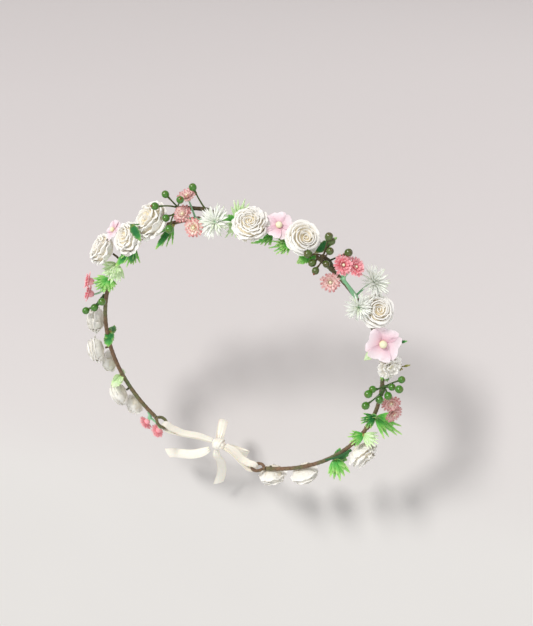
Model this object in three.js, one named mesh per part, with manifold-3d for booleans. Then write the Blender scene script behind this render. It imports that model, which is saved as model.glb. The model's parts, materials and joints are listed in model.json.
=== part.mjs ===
// A flower crown: a circlet of taped wire set all round with paper roses, blossoms, plastic daisies,
// berry sprays and leaves, and tied at the back with a satin ribbon.
// Millimetres and degrees. +Z is up as worn, the origin is the middle of the circlet in the plane of its
// wire, the front is at -Y and the tie at +Y. Angles run round the circlet from the front towards +X.

import * as THREE from "three";
import { mergeVertices } from "three/addons/utils/BufferGeometryUtils.js";
import Module from "manifold-3d";

const wasm = await Module();
wasm.setup();

// ---------------------------------------------------------------- driving dimensions

const RING = 84.5; // radius of the wire's centreline
const WIRE = 0.6; // radius of the bare wire
const TAPE_INSIDE = 0.85; // inner radius of the paper tape round the wire
const TAPE = 1.3; // outer radius of the paper tape
const CLEAR = 0.35; // gap between pieces that touch

const LEFT_FLEX = 78; // where the left arm flexes
const RIGHT_FLEX = -100.5; // where the right arm flexes
const LEFT_END = 151; // where the taped wire ends on each side of the tie
const RIGHT_END = -157;
const FLEX_GAP = 0.4; // degrees of bare gap at each flex point

const EYE_RADIUS = 3.5; // centreline radius of the wire eye at each end
const EYE_WIRE = 1; // radius of the taped wire of an eye
const EYE_REACH = 5.5; // from the end of the tape to the middle of its eye

const STEM = 0.6; // radius of a flower's wire stem
const TWIG = 0.5; // radius of a berry's or a daisy's stalk
const BERRY = 2.2; // radius of a berry
const LEAF_THICKNESS = 0.7;

const RIBBON_WIDTH = 6;
const RIBBON_THICKNESS = 1;
const KNOT = { along: 4, out: 2.6, up: 3.4 }; // half sizes of the knot
const KNOT_REACH = 79; // the knot hangs on the chord between the eyes
const SAG = 5; // how far the knot hangs below the wire

// ---------------------------------------------------------------- materials

const COLOURS = {
  wire: { color: "#8b8d8a", roughness: 0.35, metalness: 0.9 },
  paper_tape: { color: "#7d6248", roughness: 0.85, metalness: 0 },
  white_paper: { color: "#f6f2ea", roughness: 0.8, metalness: 0 },
  pink_paper: { color: "#f0dae2", roughness: 0.8, metalness: 0 },
  white_plastic: { color: "#eef3ea", roughness: 0.45, metalness: 0 },
  coral_plastic: { color: "#ea8792", roughness: 0.45, metalness: 0 },
  dusty_plastic: { color: "#e6b8b4", roughness: 0.45, metalness: 0 },
  green_berry: { color: "#3f8f2a", roughness: 0.3, metalness: 0 },
  olive_berry: { color: "#4b5a26", roughness: 0.35, metalness: 0 },
  leaf_green: { color: "#3f9a4b", roughness: 0.5, metalness: 0 },
  pale_leaf: { color: "#b9dfa0", roughness: 0.5, metalness: 0 },
  satin: { color: "#f3efe2", roughness: 0.35, metalness: 0 },
};

const materials = Object.fromEntries(
  Object.entries(COLOURS).map(([name, look]) => [
    name,
    new THREE.MeshStandardMaterial({ name, ...look }),
  ]),
);

// ---------------------------------------------------------------- places

const DEGREE = Math.PI / 180;
const Y_AXIS = new THREE.Vector3(0, 1, 0);
const Z_AXIS = new THREE.Vector3(0, 0, 1);
const LEAF_LOOKOUT = new THREE.Vector3(0, -0.6, 0.8); // leaves show their faces to the front and above

// A point by its angle round the circlet, its distance from the axis and its height.
function at(angle, reach, height = 0) {
  const turn = angle * DEGREE;
  return new THREE.Vector3(reach * Math.sin(turn), -reach * Math.cos(turn), height);
}

// The same point, seen from a pick whose own frame stands on the wire at the angle `base`.
function seenFrom(base, [angle, reach, height]) {
  return at(angle - base, reach, height).sub(at(0, RING));
}

// The way a head looks: outwards from the circlet, lifted by `tilt` and turned along it by `turn`.
function facing(tilt, turn) {
  const flat = Math.cos(tilt * DEGREE);
  const aside = turn * DEGREE;
  return new THREE.Vector3(flat * Math.sin(aside), -flat * Math.cos(aside), Math.sin(tilt * DEGREE));
}

// ---------------------------------------------------------------- solids

function solidOf(geometry) {
  const bare = geometry.clone();
  bare.deleteAttribute("normal");
  bare.deleteAttribute("uv");
  const merged = mergeVertices(bare, 1e-4);
  return new wasm.Manifold(
    new wasm.Mesh({
      numProp: 3,
      vertProperties: merged.attributes.position.array,
      triVerts: new Uint32Array(merged.index.array),
    }),
  );
}

function geometryOf(solid) {
  const mesh = solid.getMesh();
  const geometry = new THREE.BufferGeometry();
  geometry.setAttribute("position", new THREE.BufferAttribute(mesh.vertProperties, 3));
  geometry.setIndex(new THREE.BufferAttribute(mesh.triVerts, 1));
  geometry.computeVertexNormals();
  return geometry;
}

function joined(solids) {
  return geometryOf(solids.reduce((whole, next) => whole.add(next)));
}

// A straight round stalk between two points.
function stalk(from, to, radius) {
  const span = to.clone().sub(from);
  const rod = new THREE.CylinderGeometry(radius, radius, span.length(), 5);
  rod.applyQuaternion(new THREE.Quaternion().setFromUnitVectors(Y_AXIS, span.clone().normalize()));
  rod.translate(...from.clone().lerp(to, 0.5).toArray());
  return solidOf(rod);
}

// A turned head, its outline given as [radius, height] in units of its size, with a lobed edge.
function turned(outline, size, { lobes, depth, segments }) {
  const points = outline.map(([radius, height]) => new THREE.Vector2(radius * size, height * size));
  const head = new THREE.LatheGeometry(points, segments);
  const position = head.attributes.position;
  for (let i = 0; i < position.count; i++) {
    const x = position.getX(i);
    const z = position.getZ(i);
    const share = Math.hypot(x, z) / size;
    const dip = 1 - depth * share * (0.5 - 0.5 * Math.cos(lobes * Math.atan2(z, x)));
    position.setX(i, x * dip);
    position.setZ(i, z * dip);
  }
  return head;
}

function aimed(head, place, way) {
  head.applyQuaternion(new THREE.Quaternion().setFromUnitVectors(Y_AXIS, way));
  head.translate(...place.toArray());
  return solidOf(head);
}

// ---------------------------------------------------------------- heads

// Outlines run from the back of a head to its front, as [radius, height] in units of its radius.
const HEADS = {
  rose: {
    outline: [[0, -0.75], [0.22, -0.7], [0.85, -0.2], [1, 0.2], [0.78, 0.52], [0.42, 0.5], [0, 0.66]],
    edge: { lobes: 5, depth: 0.1, segments: 10 },
  },
  blossom: {
    outline: [[0, -0.45], [0.2, -0.35], [1, 0.05], [0.97, 0.2], [0.28, 0.02], [0.2, 0.2], [0, 0.25]],
    edge: { lobes: 5, depth: 0.3, segments: 20 },
  },
  spiky: {
    outline: [[0, -0.6], [0.25, -0.45], [1, 0.15], [0.55, 0.4], [0, 0.3]],
    edge: { lobes: 9, depth: 0.45, segments: 18 },
  },
  daisy: {
    outline: [[0, -0.5], [1, 0.1], [0.95, 0.3], [0.3, 0.2], [0, 0.4]],
    edge: { lobes: 7, depth: 0.35, segments: 14 },
  },
};

function headSolid(kind, radius, place, way) {
  const { outline, edge } = HEADS[kind];
  return aimed(turned(outline, radius, edge), place, way);
}

// ---------------------------------------------------------------- the design, piece by piece

// Single heads: where each sits round the circlet, how far out and how high, its radius and its aim.
const SINGLE_HEADS = [
  { name: "rose_01", kind: "rose", angle: 71, reach: 96, height: 2, radius: 8.5, tilt: 20, turn: 0 },
  { name: "rose_02", kind: "rose", angle: 55, reach: 90, height: 10, radius: 8.5, tilt: 40, turn: 0 },
  { name: "rose_03", kind: "rose", angle: 44, reach: 92, height: 7, radius: 10, tilt: 30, turn: 10 },
  { name: "rose_04", kind: "rose", angle: 6, reach: 89.5, height: 7.5, radius: 9.5, tilt: 35, turn: 0 },
  { name: "rose_05", kind: "rose", angle: -12, reach: 92.5, height: 3, radius: 9, tilt: 30, turn: -5 },
  { name: "rose_06", kind: "rose", angle: -48, reach: 92, height: 1, radius: 8, tilt: 35, turn: 25 },
  { name: "rose_07", kind: "rose", angle: -113, reach: 92.5, height: 2, radius: 9, tilt: 15, turn: 0 },
  { name: "rose_08", kind: "rose", angle: -142.5, reach: 91, height: -3, radius: 8, tilt: 0, turn: 0 },
  { name: "rose_09", kind: "rose", angle: -156, reach: 91, height: -3, radius: 8, tilt: 5, turn: 0 },
  { name: "rose_10", kind: "rose", angle: 104.5, reach: 92, height: -3, radius: 7.5, tilt: 10, turn: 0 },
  { name: "rose_11", kind: "rose", angle: 115, reach: 92, height: 4, radius: 7.5, tilt: 25, turn: 0 },
  { name: "rose_12", kind: "rose", angle: 123, reach: 91, height: -3, radius: 6, tilt: 0, turn: 0 },
  { name: "rose_13", kind: "rose", angle: 135, reach: 91, height: 4, radius: 7, tilt: 20, turn: 0 },
  { name: "rose_14", kind: "rose", angle: 142.5, reach: 91, height: -1, radius: 6, tilt: 5, turn: 0 },
  { name: "pink_blossom_1", kind: "blossom", angle: 61, reach: 98, height: 3, radius: 6, tilt: 25, turn: 0 },
  { name: "pink_blossom_2", kind: "blossom", angle: -3, reach: 91, height: 2, radius: 7.5, tilt: 35, turn: 0 },
  { name: "pink_blossom_3", kind: "blossom", angle: -59, reach: 90, height: 6, radius: 9, tilt: 55, turn: 20 },
  { name: "white_blossom", kind: "blossom", angle: -68, reach: 90.5, height: 6, radius: 6.5, tilt: 40, turn: 0 },
  { name: "spiky_flower_1", kind: "spiky", angle: 18.5, reach: 88, height: 10, radius: 9, tilt: 45, turn: 10 },
  { name: "spiky_flower_2", kind: "spiky", angle: -40, reach: 96, height: -6, radius: 9, tilt: 15, turn: 0 },
  { name: "spiky_flower_3", kind: "spiky", angle: -42.5, reach: 87.5, height: 7.5, radius: 7.5, tilt: 60, turn: 0 },
];

// Daisy picks: small heads on stalks that meet where the pick is taped to the wire.
// Each head is [angle, reach, height, radius, tilt].
const DAISY_PICKS = [
  {
    name: "daisy_pick_1",
    colour: "dusty_plastic",
    base: 26,
    fork: [27.5, 86.5, 5],
    heads: [[30, 98, -0.5, 5.5, 10], [30.5, 92, 8.5, 5.5, 35], [26, 86, 13, 5.5, 65]],
  },
  {
    name: "daisy_pick_2",
    colour: "coral_plastic",
    base: -34,
    fork: [-32, 86.5, 1],
    heads: [[-27.5, 96, 6, 6, 35], [-31, 98, 2, 5.5, 20], [-28.5, 87, 12, 5.5, 70]],
  },
  {
    name: "daisy_pick_3",
    colour: "coral_plastic",
    base: 88,
    fork: [88, 87, 1],
    heads: [[85.5, 95, 4, 5.5, 20], [91.5, 94, 2, 5, 10]],
  },
  {
    name: "daisy_pick_4",
    colour: "dusty_plastic",
    base: -88,
    fork: [-87, 86, 1],
    heads: [[-83.5, 92, 6, 5.5, 60], [-90, 94, 1.5, 5.5, 35]],
  },
  {
    name: "daisy_pick_5",
    colour: "coral_plastic",
    base: 148,
    fork: [150, 88, 0],
    heads: [[150.5, 91, 2, 4.5, 15], [156, 91, 0.5, 4.5, 0]],
  },
];

// Berry sprays: a stem along the wire and berries on stalks that leave its forks.
// The stem and the forks are [angle, reach, height]; each berry is its fork's number and its place.
const BERRY_SPRAYS = [
  {
    name: "berry_spray_1",
    colour: "green_berry",
    base: 19,
    stem: [[18, 83.5, -3], [25, 89, -1.5], [33.5, 93.5, 2.5]],
    berries: [
      [1, 26, 105, 3],
      [2, 34, 105, 8],
      [2, 37, 102, 14],
      [2, 29.5, 101, 9],
      [2, 35.5, 93.5, 13],
      [2, 34, 89, 18],
    ],
  },
  {
    name: "berry_spray_2",
    colour: "olive_berry",
    base: -28,
    stem: [[-28, 83.5, -3], [-24, 87.5, 0], [-21, 91, 5]],
    berries: [
      [2, -18.5, 105, 7],
      [2, -20, 103, 6],
      [2, -21.5, 98, 7],
      [1, -26, 103, 4],
      [2, -16.5, 90.5, 10.5],
      [2, -19.5, 87, 10],
      [2, -22, 86.5, 13],
      [1, -23.5, 90, 7],
    ],
  },
  {
    name: "berry_spray_3",
    colour: "green_berry",
    base: -84,
    stem: [[-84, 85, 2], [-80, 86.5, 4.5], [-77, 87.5, 7]],
    berries: [
      [2, -71, 99, 11],
      [2, -74, 98, 13],
      [2, -75, 93, 10],
      [2, -78, 91.5, 12],
      [2, -75, 83.5, 15],
      [2, -76, 82, 18],
      [2, -80, 87, 13],
      [1, -83, 80.5, 16],
    ],
  },
  {
    name: "berry_spray_4",
    colour: "green_berry",
    base: 93,
    stem: [[92, 86.5, -3], [95, 88.5, 1]],
    berries: [
      [1, 98.5, 95, 4],
      [1, 96.5, 90, 3],
      [1, 91, 84.5, 6],
    ],
  },
];

// Leaf sprigs: blades that fan from the wire. Each blade is [angle, reach, height, width] of its tip.
const LEAF_SPRIGS = [
  { name: "leaf_sprig_01", colour: "leaf_green", base: 39, blades: [[43, 80, 18, 5], [36, 82, 11, 4]] },
  { name: "leaf_sprig_02", colour: "leaf_green", base: 61, blades: [[61, 81, 14, 6], [66.5, 84.5, 11, 5]] },
  { name: "leaf_sprig_03", colour: "pale_leaf", base: 73, blades: [[77, 86, 11, 7], [70, 81, 13, 7]] },
  { name: "leaf_sprig_04", colour: "leaf_green", base: 81.5, blades: [[81.5, 90, 12, 6], [82, 81, 10.5, 6]] },
  { name: "leaf_sprig_05", colour: "leaf_green", base: 109, blades: [[110, 84, 12, 6], [110, 86, -12, 5]] },
  { name: "leaf_sprig_06", colour: "pale_leaf", base: 129, blades: [[129, 85, 12, 6], [130, 92, -12, 5]] },
  { name: "leaf_sprig_07", colour: "pale_leaf", base: 12, blades: [[12, 97, -4, 6], [14, 80, 11, 4]] },
  { name: "leaf_sprig_08", colour: "leaf_green", base: -1.5, blades: [[3.5, 82, 13, 5], [1, 80, 9, 4]] },
  { name: "leaf_sprig_09", colour: "leaf_green", base: -18, blades: [[-15, 83, 11.5, 6], [-21, 97, -8, 5]] },
  { name: "leaf_sprig_10", colour: "leaf_green", base: -62, blades: [[-63, 80, 12, 5], [-61.5, 98, -1, 5]] },
  { name: "leaf_sprig_11", colour: "leaf_green", base: -95, blades: [[-92.5, 81, 12, 6], [-96.5, 103, 0, 5]] },
  { name: "leaf_sprig_12", colour: "pale_leaf", base: -105.5, blades: [[-105, 83, 13, 6], [-105, 96, 5, 6]] },
  { name: "leaf_sprig_13", colour: "pale_leaf", base: -125, blades: [[-126, 98, 8, 8], [-122, 90, -10, 6]] },
  { name: "leaf_sprig_14", colour: "leaf_green", base: -73, blades: [[-70, 101, -2, 4], [-73, 82, 10, 4]] },
  { name: "leaf_sprig_15", colour: "leaf_green", base: -9, blades: [[-2, 82, 10, 5], [-5, 82, 13, 4]] },
];

// The ribbon's routes, as [angle, reach, height] from the knot outwards, and the way each lies across.
const BOW = [
  {
    name: "bow_loop_left",
    side: [-0.97, 0, -0.25],
    route: [[179.3, 78.1, -8.8], [178.4, 75.4, -13.2], [177.2, 74.5, -19], [176.3, 77, -24.2],
      [176.5, 81.5, -24.2], [177.5, 83.7, -19], [178.5, 82.8, -13.2], [179.3, 80.1, -9]],
  },
  {
    name: "bow_loop_right",
    side: [0, 0.79, 0.62],
    route: [[-177.9, 83.2, -8.1], [-177, 86.3, -12.1], [-174.7, 89.5, -15.9], [-171.5, 91.4, -17.6],
      [-169.3, 89.8, -15], [-170.5, 86.4, -11], [-173.6, 83.6, -8.2], [-176.8, 82.4, -7.1]],
  },
  {
    name: "ribbon_tail_left",
    side: [0.5, -0.7, -0.45],
    route: [[177.2, 82.9, -1.4], [174.8, 87.8, -1.1], [171.5, 94.5, -2.5], [168, 101.5, -5.5],
      [165.5, 108.5, -9.5], [163.8, 115, -12.5]],
  },
  {
    name: "ribbon_tail_right",
    side: [0.93, 0.15, 0.32],
    route: [[-179.8, 83, -2.6], [-179.2, 88, -3.4], [-178, 94, -7], [-177.8, 100.5, -10.5],
      [-177.8, 107, -13.5], [-178, 114, -15.5], [-178.4, 121, -16.5]],
  },
];

// ---------------------------------------------------------------- the circlet

class RingArc extends THREE.Curve {
  constructor(from, to) {
    super();
    this.from = from;
    this.to = to;
  }

  getPoint(share) {
    return at(this.from + (this.to - this.from) * share, RING);
  }
}

function polygon(radiusX, radiusY, sides, Kind) {
  const outline = new Kind();
  for (let i = 0; i < sides; i++) {
    const turn = ((i + 0.5) / sides) * 2 * Math.PI;
    const [x, y] = [radiusX * Math.cos(turn), radiusY * Math.sin(turn)];
    if (i === 0) outline.moveTo(x, y);
    else outline.lineTo(x, y);
  }
  outline.closePath();
  return outline;
}

const crown = new THREE.Group();

function addMesh(name, geometry, look) {
  const mesh = new THREE.Mesh(geometry, materials[look]);
  mesh.name = name;
  crown.add(mesh);
  return mesh;
}

// A mesh whose own frame stands on the wire at the angle `base`.
function addPick(name, geometry, look, base) {
  const mesh = addMesh(name, geometry, look);
  mesh.position.copy(at(base, RING));
  mesh.rotation.z = base * DEGREE;
}

function addCircletLength(side, from, to) {
  const steps = Math.ceil(Math.abs(to - from) / 7);
  const path = { steps, extrudePath: new RingArc(from, to) };
  addMesh(`wire_${side}`, new THREE.ExtrudeGeometry(polygon(WIRE, WIRE, 5, THREE.Shape), path), "wire");
  const tape = polygon(TAPE, TAPE, 6, THREE.Shape);
  tape.holes.push(polygon(TAPE_INSIDE, TAPE_INSIDE, 6, THREE.Path));
  addMesh(`paper_tape_${side}`, new THREE.ExtrudeGeometry(tape, path), "paper_tape");
}

// The eye at the end of an arm: a ring of taped wire across the tangent, and its shank.
function addEye(side, end) {
  const onwards = Math.sign(end);
  const middle = new THREE.Vector3(EYE_REACH * onwards, 0, 0);
  const eye = new THREE.TorusGeometry(EYE_RADIUS, EYE_WIRE, 6, 12);
  eye.rotateX(90 * DEGREE);
  eye.translate(...middle.toArray());
  const root = new THREE.Vector3(CLEAR * onwards, 0, 0);
  const rim = new THREE.Vector3((EYE_REACH - EYE_RADIUS) * onwards, 0, 0);
  addPick(`wire_eye_${side}`, joined([solidOf(eye), stalk(root, rim, EYE_WIRE)]), "paper_tape", end);
}

addCircletLength("front", RIGHT_FLEX + FLEX_GAP / 2, LEFT_FLEX - FLEX_GAP / 2);
addCircletLength("left", LEFT_FLEX + FLEX_GAP / 2, LEFT_END);
addCircletLength("right", RIGHT_FLEX - FLEX_GAP / 2, RIGHT_END);
addEye("left", LEFT_END);
addEye("right", RIGHT_END);

// ---------------------------------------------------------------- flowers, berries and leaves

const HEAD_LOOKS = { rose: "white_paper", blossom: "pink_paper", spiky: "white_plastic" };

// The foot of a stem, on the tape's surface on the side that the head is on.
function footTowards(place) {
  const across = new THREE.Vector3(0, place.y, place.z).normalize();
  return across.multiplyScalar(TAPE + CLEAR + STEM);
}

for (const { name, kind, angle, reach, height, radius, tilt, turn } of SINGLE_HEADS) {
  const place = seenFrom(angle, [angle, reach, height]);
  const way = facing(tilt, turn);
  const foot = footTowards(place);
  const head = headSolid(kind, radius, place, way);
  const look = name.startsWith("white") ? "white_paper" : HEAD_LOOKS[kind];
  addPick(name, joined([head, stalk(foot, place, STEM)]), look, angle);
}

for (const { name, colour, base, fork, heads } of DAISY_PICKS) {
  const meeting = seenFrom(base, fork);
  const pieces = [stalk(footTowards(seenFrom(base, [base, fork[1], fork[2]])), meeting, STEM)];
  for (const [angle, reach, height, radius, tilt] of heads) {
    const place = seenFrom(base, [angle, reach, height]);
    pieces.push(stalk(meeting, place, TWIG), headSolid("daisy", radius, place, facing(tilt, 0)));
  }
  addPick(name, joined(pieces), colour, base);
}

for (const { name, colour, base, stem, berries } of BERRY_SPRAYS) {
  const forks = stem.map((place) => seenFrom(base, place));
  const pieces = forks.slice(1).map((fork, i) => stalk(forks[i], fork, STEM));
  for (const [fork, ...place] of berries) {
    const middle = seenFrom(base, place);
    const berry = new THREE.SphereGeometry(BERRY, 6, 4).translate(...middle.toArray());
    pieces.push(stalk(forks[fork], middle, TWIG), solidOf(berry));
  }
  addPick(name, joined(pieces), colour, base);
}

// A flat pointed blade from `foot` to `tip`, its face turned as nearly as it can be towards `lookout`.
function blade(foot, tip, width, lookout) {
  const length = foot.distanceTo(tip);
  const outline = new THREE.Shape();
  outline.moveTo(0, -STEM);
  outline.quadraticCurveTo(length * 0.45, -width * 0.9, length, 0);
  outline.quadraticCurveTo(length * 0.45, width * 0.9, 0, STEM);
  outline.closePath();
  const leaf = new THREE.ExtrudeGeometry(outline, {
    depth: LEAF_THICKNESS,
    bevelEnabled: false,
    curveSegments: 3,
  });
  leaf.translate(0, 0, -LEAF_THICKNESS / 2);
  const ahead = tip.clone().sub(foot).normalize();
  const face = lookout.clone().projectOnPlane(ahead).normalize();
  const aside = face.clone().cross(ahead);
  leaf.applyMatrix4(new THREE.Matrix4().makeBasis(ahead, aside, face));
  leaf.translate(...foot.toArray());
  return solidOf(leaf);
}

for (const { name, colour, base, blades } of LEAF_SPRIGS) {
  const lookout = LEAF_LOOKOUT.clone().applyAxisAngle(Z_AXIS, -base * DEGREE);
  const tips = blades.map(([angle, reach, height]) => seenFrom(base, [angle, reach, height]));
  const foot = footTowards(tips.reduce((sum, tip) => sum.add(tip), new THREE.Vector3()));
  const pieces = [solidOf(new THREE.SphereGeometry(STEM, 5, 3).translate(...foot.toArray()))];
  blades.forEach(([angle, reach, height, width]) => {
    pieces.push(blade(foot, seenFrom(base, [angle, reach, height]), width, lookout));
  });
  addPick(name, joined(pieces), colour, base);
}

// ---------------------------------------------------------------- the ribbon

// A flat ribbon along a smooth curve, lying across the way `side` as nearly as it can.
function ribbonAlong(places, side, steps) {
  const curve = new THREE.CatmullRomCurve3(places);
  const corners = [[1, 1], [-1, 1], [-1, -1], [1, -1]];
  const positions = [];
  const triangles = [];
  for (let i = 0; i <= steps; i++) {
    const middle = curve.getPointAt(i / steps);
    const ahead = curve.getTangentAt(i / steps);
    const across = side.clone().projectOnPlane(ahead).setLength(RIBBON_WIDTH / 2);
    const through = ahead.clone().cross(across).setLength(RIBBON_THICKNESS / 2);
    for (const [a, b] of corners) {
      const corner = middle.clone().addScaledVector(across, a).addScaledVector(through, b);
      positions.push(...corner.toArray());
    }
  }
  for (let i = 0; i < steps; i++) {
    for (let k = 0; k < 4; k++) {
      const [a, b] = [4 * i + k, 4 * i + ((k + 1) % 4)];
      triangles.push(a, b, b + 4, a, b + 4, a + 4);
    }
  }
  const last = 4 * steps;
  triangles.push(0, 2, 1, 0, 3, 2, last, last + 1, last + 2, last, last + 2, last + 3);
  const ribbon = new THREE.BufferGeometry();
  ribbon.setAttribute("position", new THREE.Float32BufferAttribute(positions, 3));
  ribbon.setIndex(triangles);
  ribbon.computeVertexNormals();
  return ribbon;
}

// A short strand from an eye to the knot, sagging a little on the way.
function addStrand(side, from, to) {
  const places = [
    at(from, RING, 0),
    at(from + (to - from) / 3, RING - 1.7, -SAG * 0.4),
    at(to - (to - from) / 3, KNOT_REACH + 1, -SAG * 0.8),
    at(to, KNOT_REACH, -SAG),
  ];
  addMesh(`ribbon_strand_${side}`, ribbonAlong(places, Z_AXIS, 6), "satin");
}

const EYE_END = (EYE_REACH + EYE_RADIUS + EYE_WIRE + CLEAR) / RING / DEGREE;
const KNOT_END = (KNOT.along + CLEAR) / KNOT_REACH / DEGREE;
addStrand("left", LEFT_END + EYE_END, 180 - KNOT_END);
addStrand("right", RIGHT_END - EYE_END, KNOT_END - 180);

const knot = new THREE.SphereGeometry(1, 8, 6).scale(KNOT.along, KNOT.out, KNOT.up);
addMesh("ribbon_knot", knot, "satin").position.copy(at(180, KNOT_REACH, -SAG));

for (const { name, side, route } of BOW) {
  const places = route.map((place) => at(...place));
  addMesh(name, ribbonAlong(places, new THREE.Vector3(...side), 14), "satin");
}

export default crown;
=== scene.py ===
"""The looks of the flower crown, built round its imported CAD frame.

Shapes are worked out in millimetres in the part's own frame and go into Blender in metres: +Z is up as
worn, the origin is the middle of the circlet, the front is at -Y and the tie at +Y. Angles run round the
circlet from the front towards +X.
"""

import json
import math

import bpy
import numpy as np
from mathutils import Matrix, Vector


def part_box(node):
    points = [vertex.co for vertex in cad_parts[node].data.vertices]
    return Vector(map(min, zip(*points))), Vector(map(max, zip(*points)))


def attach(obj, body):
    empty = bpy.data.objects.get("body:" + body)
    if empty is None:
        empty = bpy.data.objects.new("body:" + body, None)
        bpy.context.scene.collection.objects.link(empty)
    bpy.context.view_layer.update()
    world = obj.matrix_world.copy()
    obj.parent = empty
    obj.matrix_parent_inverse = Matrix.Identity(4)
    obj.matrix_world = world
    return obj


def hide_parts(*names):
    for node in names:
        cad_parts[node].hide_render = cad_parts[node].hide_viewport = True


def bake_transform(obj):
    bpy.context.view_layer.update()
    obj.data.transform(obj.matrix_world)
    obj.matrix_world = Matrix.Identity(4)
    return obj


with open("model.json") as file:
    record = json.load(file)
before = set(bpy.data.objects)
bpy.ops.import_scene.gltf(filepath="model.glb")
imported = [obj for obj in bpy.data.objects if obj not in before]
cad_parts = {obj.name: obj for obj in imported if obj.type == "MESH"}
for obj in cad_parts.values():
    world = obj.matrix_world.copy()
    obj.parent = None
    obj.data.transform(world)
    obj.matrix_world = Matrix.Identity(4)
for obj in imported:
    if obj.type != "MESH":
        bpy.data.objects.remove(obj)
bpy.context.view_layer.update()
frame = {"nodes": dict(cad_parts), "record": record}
groups = frame["record"]["behaviour"]["bodies"]
BODY_OF = {node: body for body, nodes in groups.items() for node in nodes}

MM = 0.001
DEGREE = math.pi / 180

# ------------ the part's own dimensions, in mm

RING = 84.5  # radius of the wire's centreline
TAPE_INSIDE, TAPE = 0.85, 1.3  # inner and outer radius of the tape round the wire
LEFT_FLEX, RIGHT_FLEX = 78, -100.5  # where the hinges are, in degrees round the circlet
LEFT_END, RIGHT_END = 151, -157  # where the taped wire ends on each side of the tie, in degrees
EYE_RADIUS, EYE_WIRE, EYE_REACH = 3.5, 1, 5.5  # an eye's ring, its taped wire, and its middle past the end
STEM = 0.6  # radius of a flower's wire stem
BERRY = 2.2  # radius of a berry
RIBBON_WIDTH, RIBBON_THICKNESS = 6, 0.45

# ------------ camera

CAMERA_TARGET = (-9.6, -31.3, 0)
CAMERA_AZIMUTH, CAMERA_ELEVATION, CAMERA_ROLL = -15.39, 50.68, 145.99
CAMERA_DISTANCE = 890
CAMERA_LENS = 92.2


def make_camera():
    azimuth, elevation = CAMERA_AZIMUTH * DEGREE, CAMERA_ELEVATION * DEGREE
    back = Vector((
        math.sin(azimuth) * math.cos(elevation),
        -math.cos(azimuth) * math.cos(elevation),
        math.sin(elevation),
    ))
    level = (-back).cross(Vector((0, 0, 1))).normalized()
    upright = level.cross(-back)
    roll = CAMERA_ROLL * DEGREE
    up = upright * math.cos(roll) + level * math.sin(roll)
    right = (-back).cross(up)
    data = bpy.data.cameras.new("camera")
    data.lens = CAMERA_LENS
    data.sensor_width = 36
    data.clip_start, data.clip_end = 0.05, 50
    camera = bpy.data.objects.new("camera", data)
    bpy.context.scene.collection.objects.link(camera)
    turned = Matrix((right, up, back)).transposed().to_4x4()
    place = (Vector(CAMERA_TARGET) + back * CAMERA_DISTANCE) * MM
    camera.matrix_world = Matrix.Translation(place) @ turned
    bpy.context.scene.camera = camera


make_camera()

# ------------ places and directions


def at(angle, reach, height=0.0):
    turn = angle * DEGREE
    return np.array([reach * math.sin(turn), -reach * math.cos(turn), height])


def facing(angle, tilt, aside=0.0):
    """The way a head at `angle` looks: outwards, lifted by `tilt`, turned along the wire by `aside`."""
    flat, turn = math.cos(tilt * DEGREE), (angle + aside) * DEGREE
    return np.array([flat * math.sin(turn), -flat * math.cos(turn), math.sin(tilt * DEGREE)])


def unit(v):
    return v / max(np.linalg.norm(v), 1e-9)


def axes(way, spin=0.0):
    """Columns: two directions across `way`, turned by `spin` degrees about it, and `way` itself."""
    way = unit(np.asarray(way, float))
    side = np.cross([0, 0, 1], way)
    side = unit(side) if np.linalg.norm(side) > 1e-3 else np.array([1.0, 0, 0])
    up = np.cross(way, side)
    c, s = math.cos(spin * DEGREE), math.sin(spin * DEGREE)
    return np.stack([c * side + s * up, c * up - s * side, way], axis=1)


def spline(points, count):
    """`count` points along the uniform Catmull-Rom curve through `points`."""
    p = np.asarray(points, float)
    p = np.vstack([2 * p[0] - p[1], p, 2 * p[-1] - p[-2]])
    t = np.linspace(0, len(p) - 3, count)
    i = np.minimum(t.astype(int), len(p) - 4)
    f = (t - i)[:, None]
    a, b, c, d = p[i], p[i + 1], p[i + 2], p[i + 3]
    return 0.5 * (2 * b + (c - a) * f + (2 * a - 5 * b + 4 * c - d) * f**2 + (3 * b - 3 * c + d - a) * f**3)


def bowed(start, end, bow):
    """Ten points of a gently bent line from `start` to `end`, its middle moved by the vector `bow`."""
    t = np.linspace(0, 1, 10)[:, None]
    return start + (end - start) * t + bow * 4 * t * (1 - t)


def carried(path, hint=None):
    """Tangents and a pair of directions across a path, turned as little as the path allows."""
    tangents = np.gradient(path, axis=0)
    tangents /= np.maximum(np.linalg.norm(tangents, axis=1, keepdims=True), 1e-9)
    side = np.array(hint if hint is not None else (0.31, 0.17, 1.0), float)
    sides = []
    for tangent in tangents:
        side = unit(side - tangent * (side @ tangent))
        sides.append(side)
        if hint is not None:
            side = np.array(hint, float)
    sides = np.array(sides)
    return tangents, sides, np.cross(tangents, sides)


def lengths(path):
    """How far along the path each of its points is."""
    return np.concatenate([[0], np.cumsum(np.linalg.norm(np.diff(path, axis=0), axis=1))])


def circle(sides):
    return np.arange(sides) / sides * 2 * math.pi


def marks(along, across, tone, like):
    """The three numbers of each point of a grid of the size of `like`."""
    return np.stack([np.broadcast_to(part, like.shape[:2]) for part in (along, across, tone)], axis=2)


def bands(ids):
    """Quads between rows of point numbers, where each row runs round in a ring."""
    on = np.roll(ids, -1, axis=1)
    return np.stack([ids[:-1], on[:-1], on[1:], ids[1:]], axis=2).reshape(-1, 4)


# ------------ shapes

CREASE = 50  # edges sharper than this, in degrees, stay sharp


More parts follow.
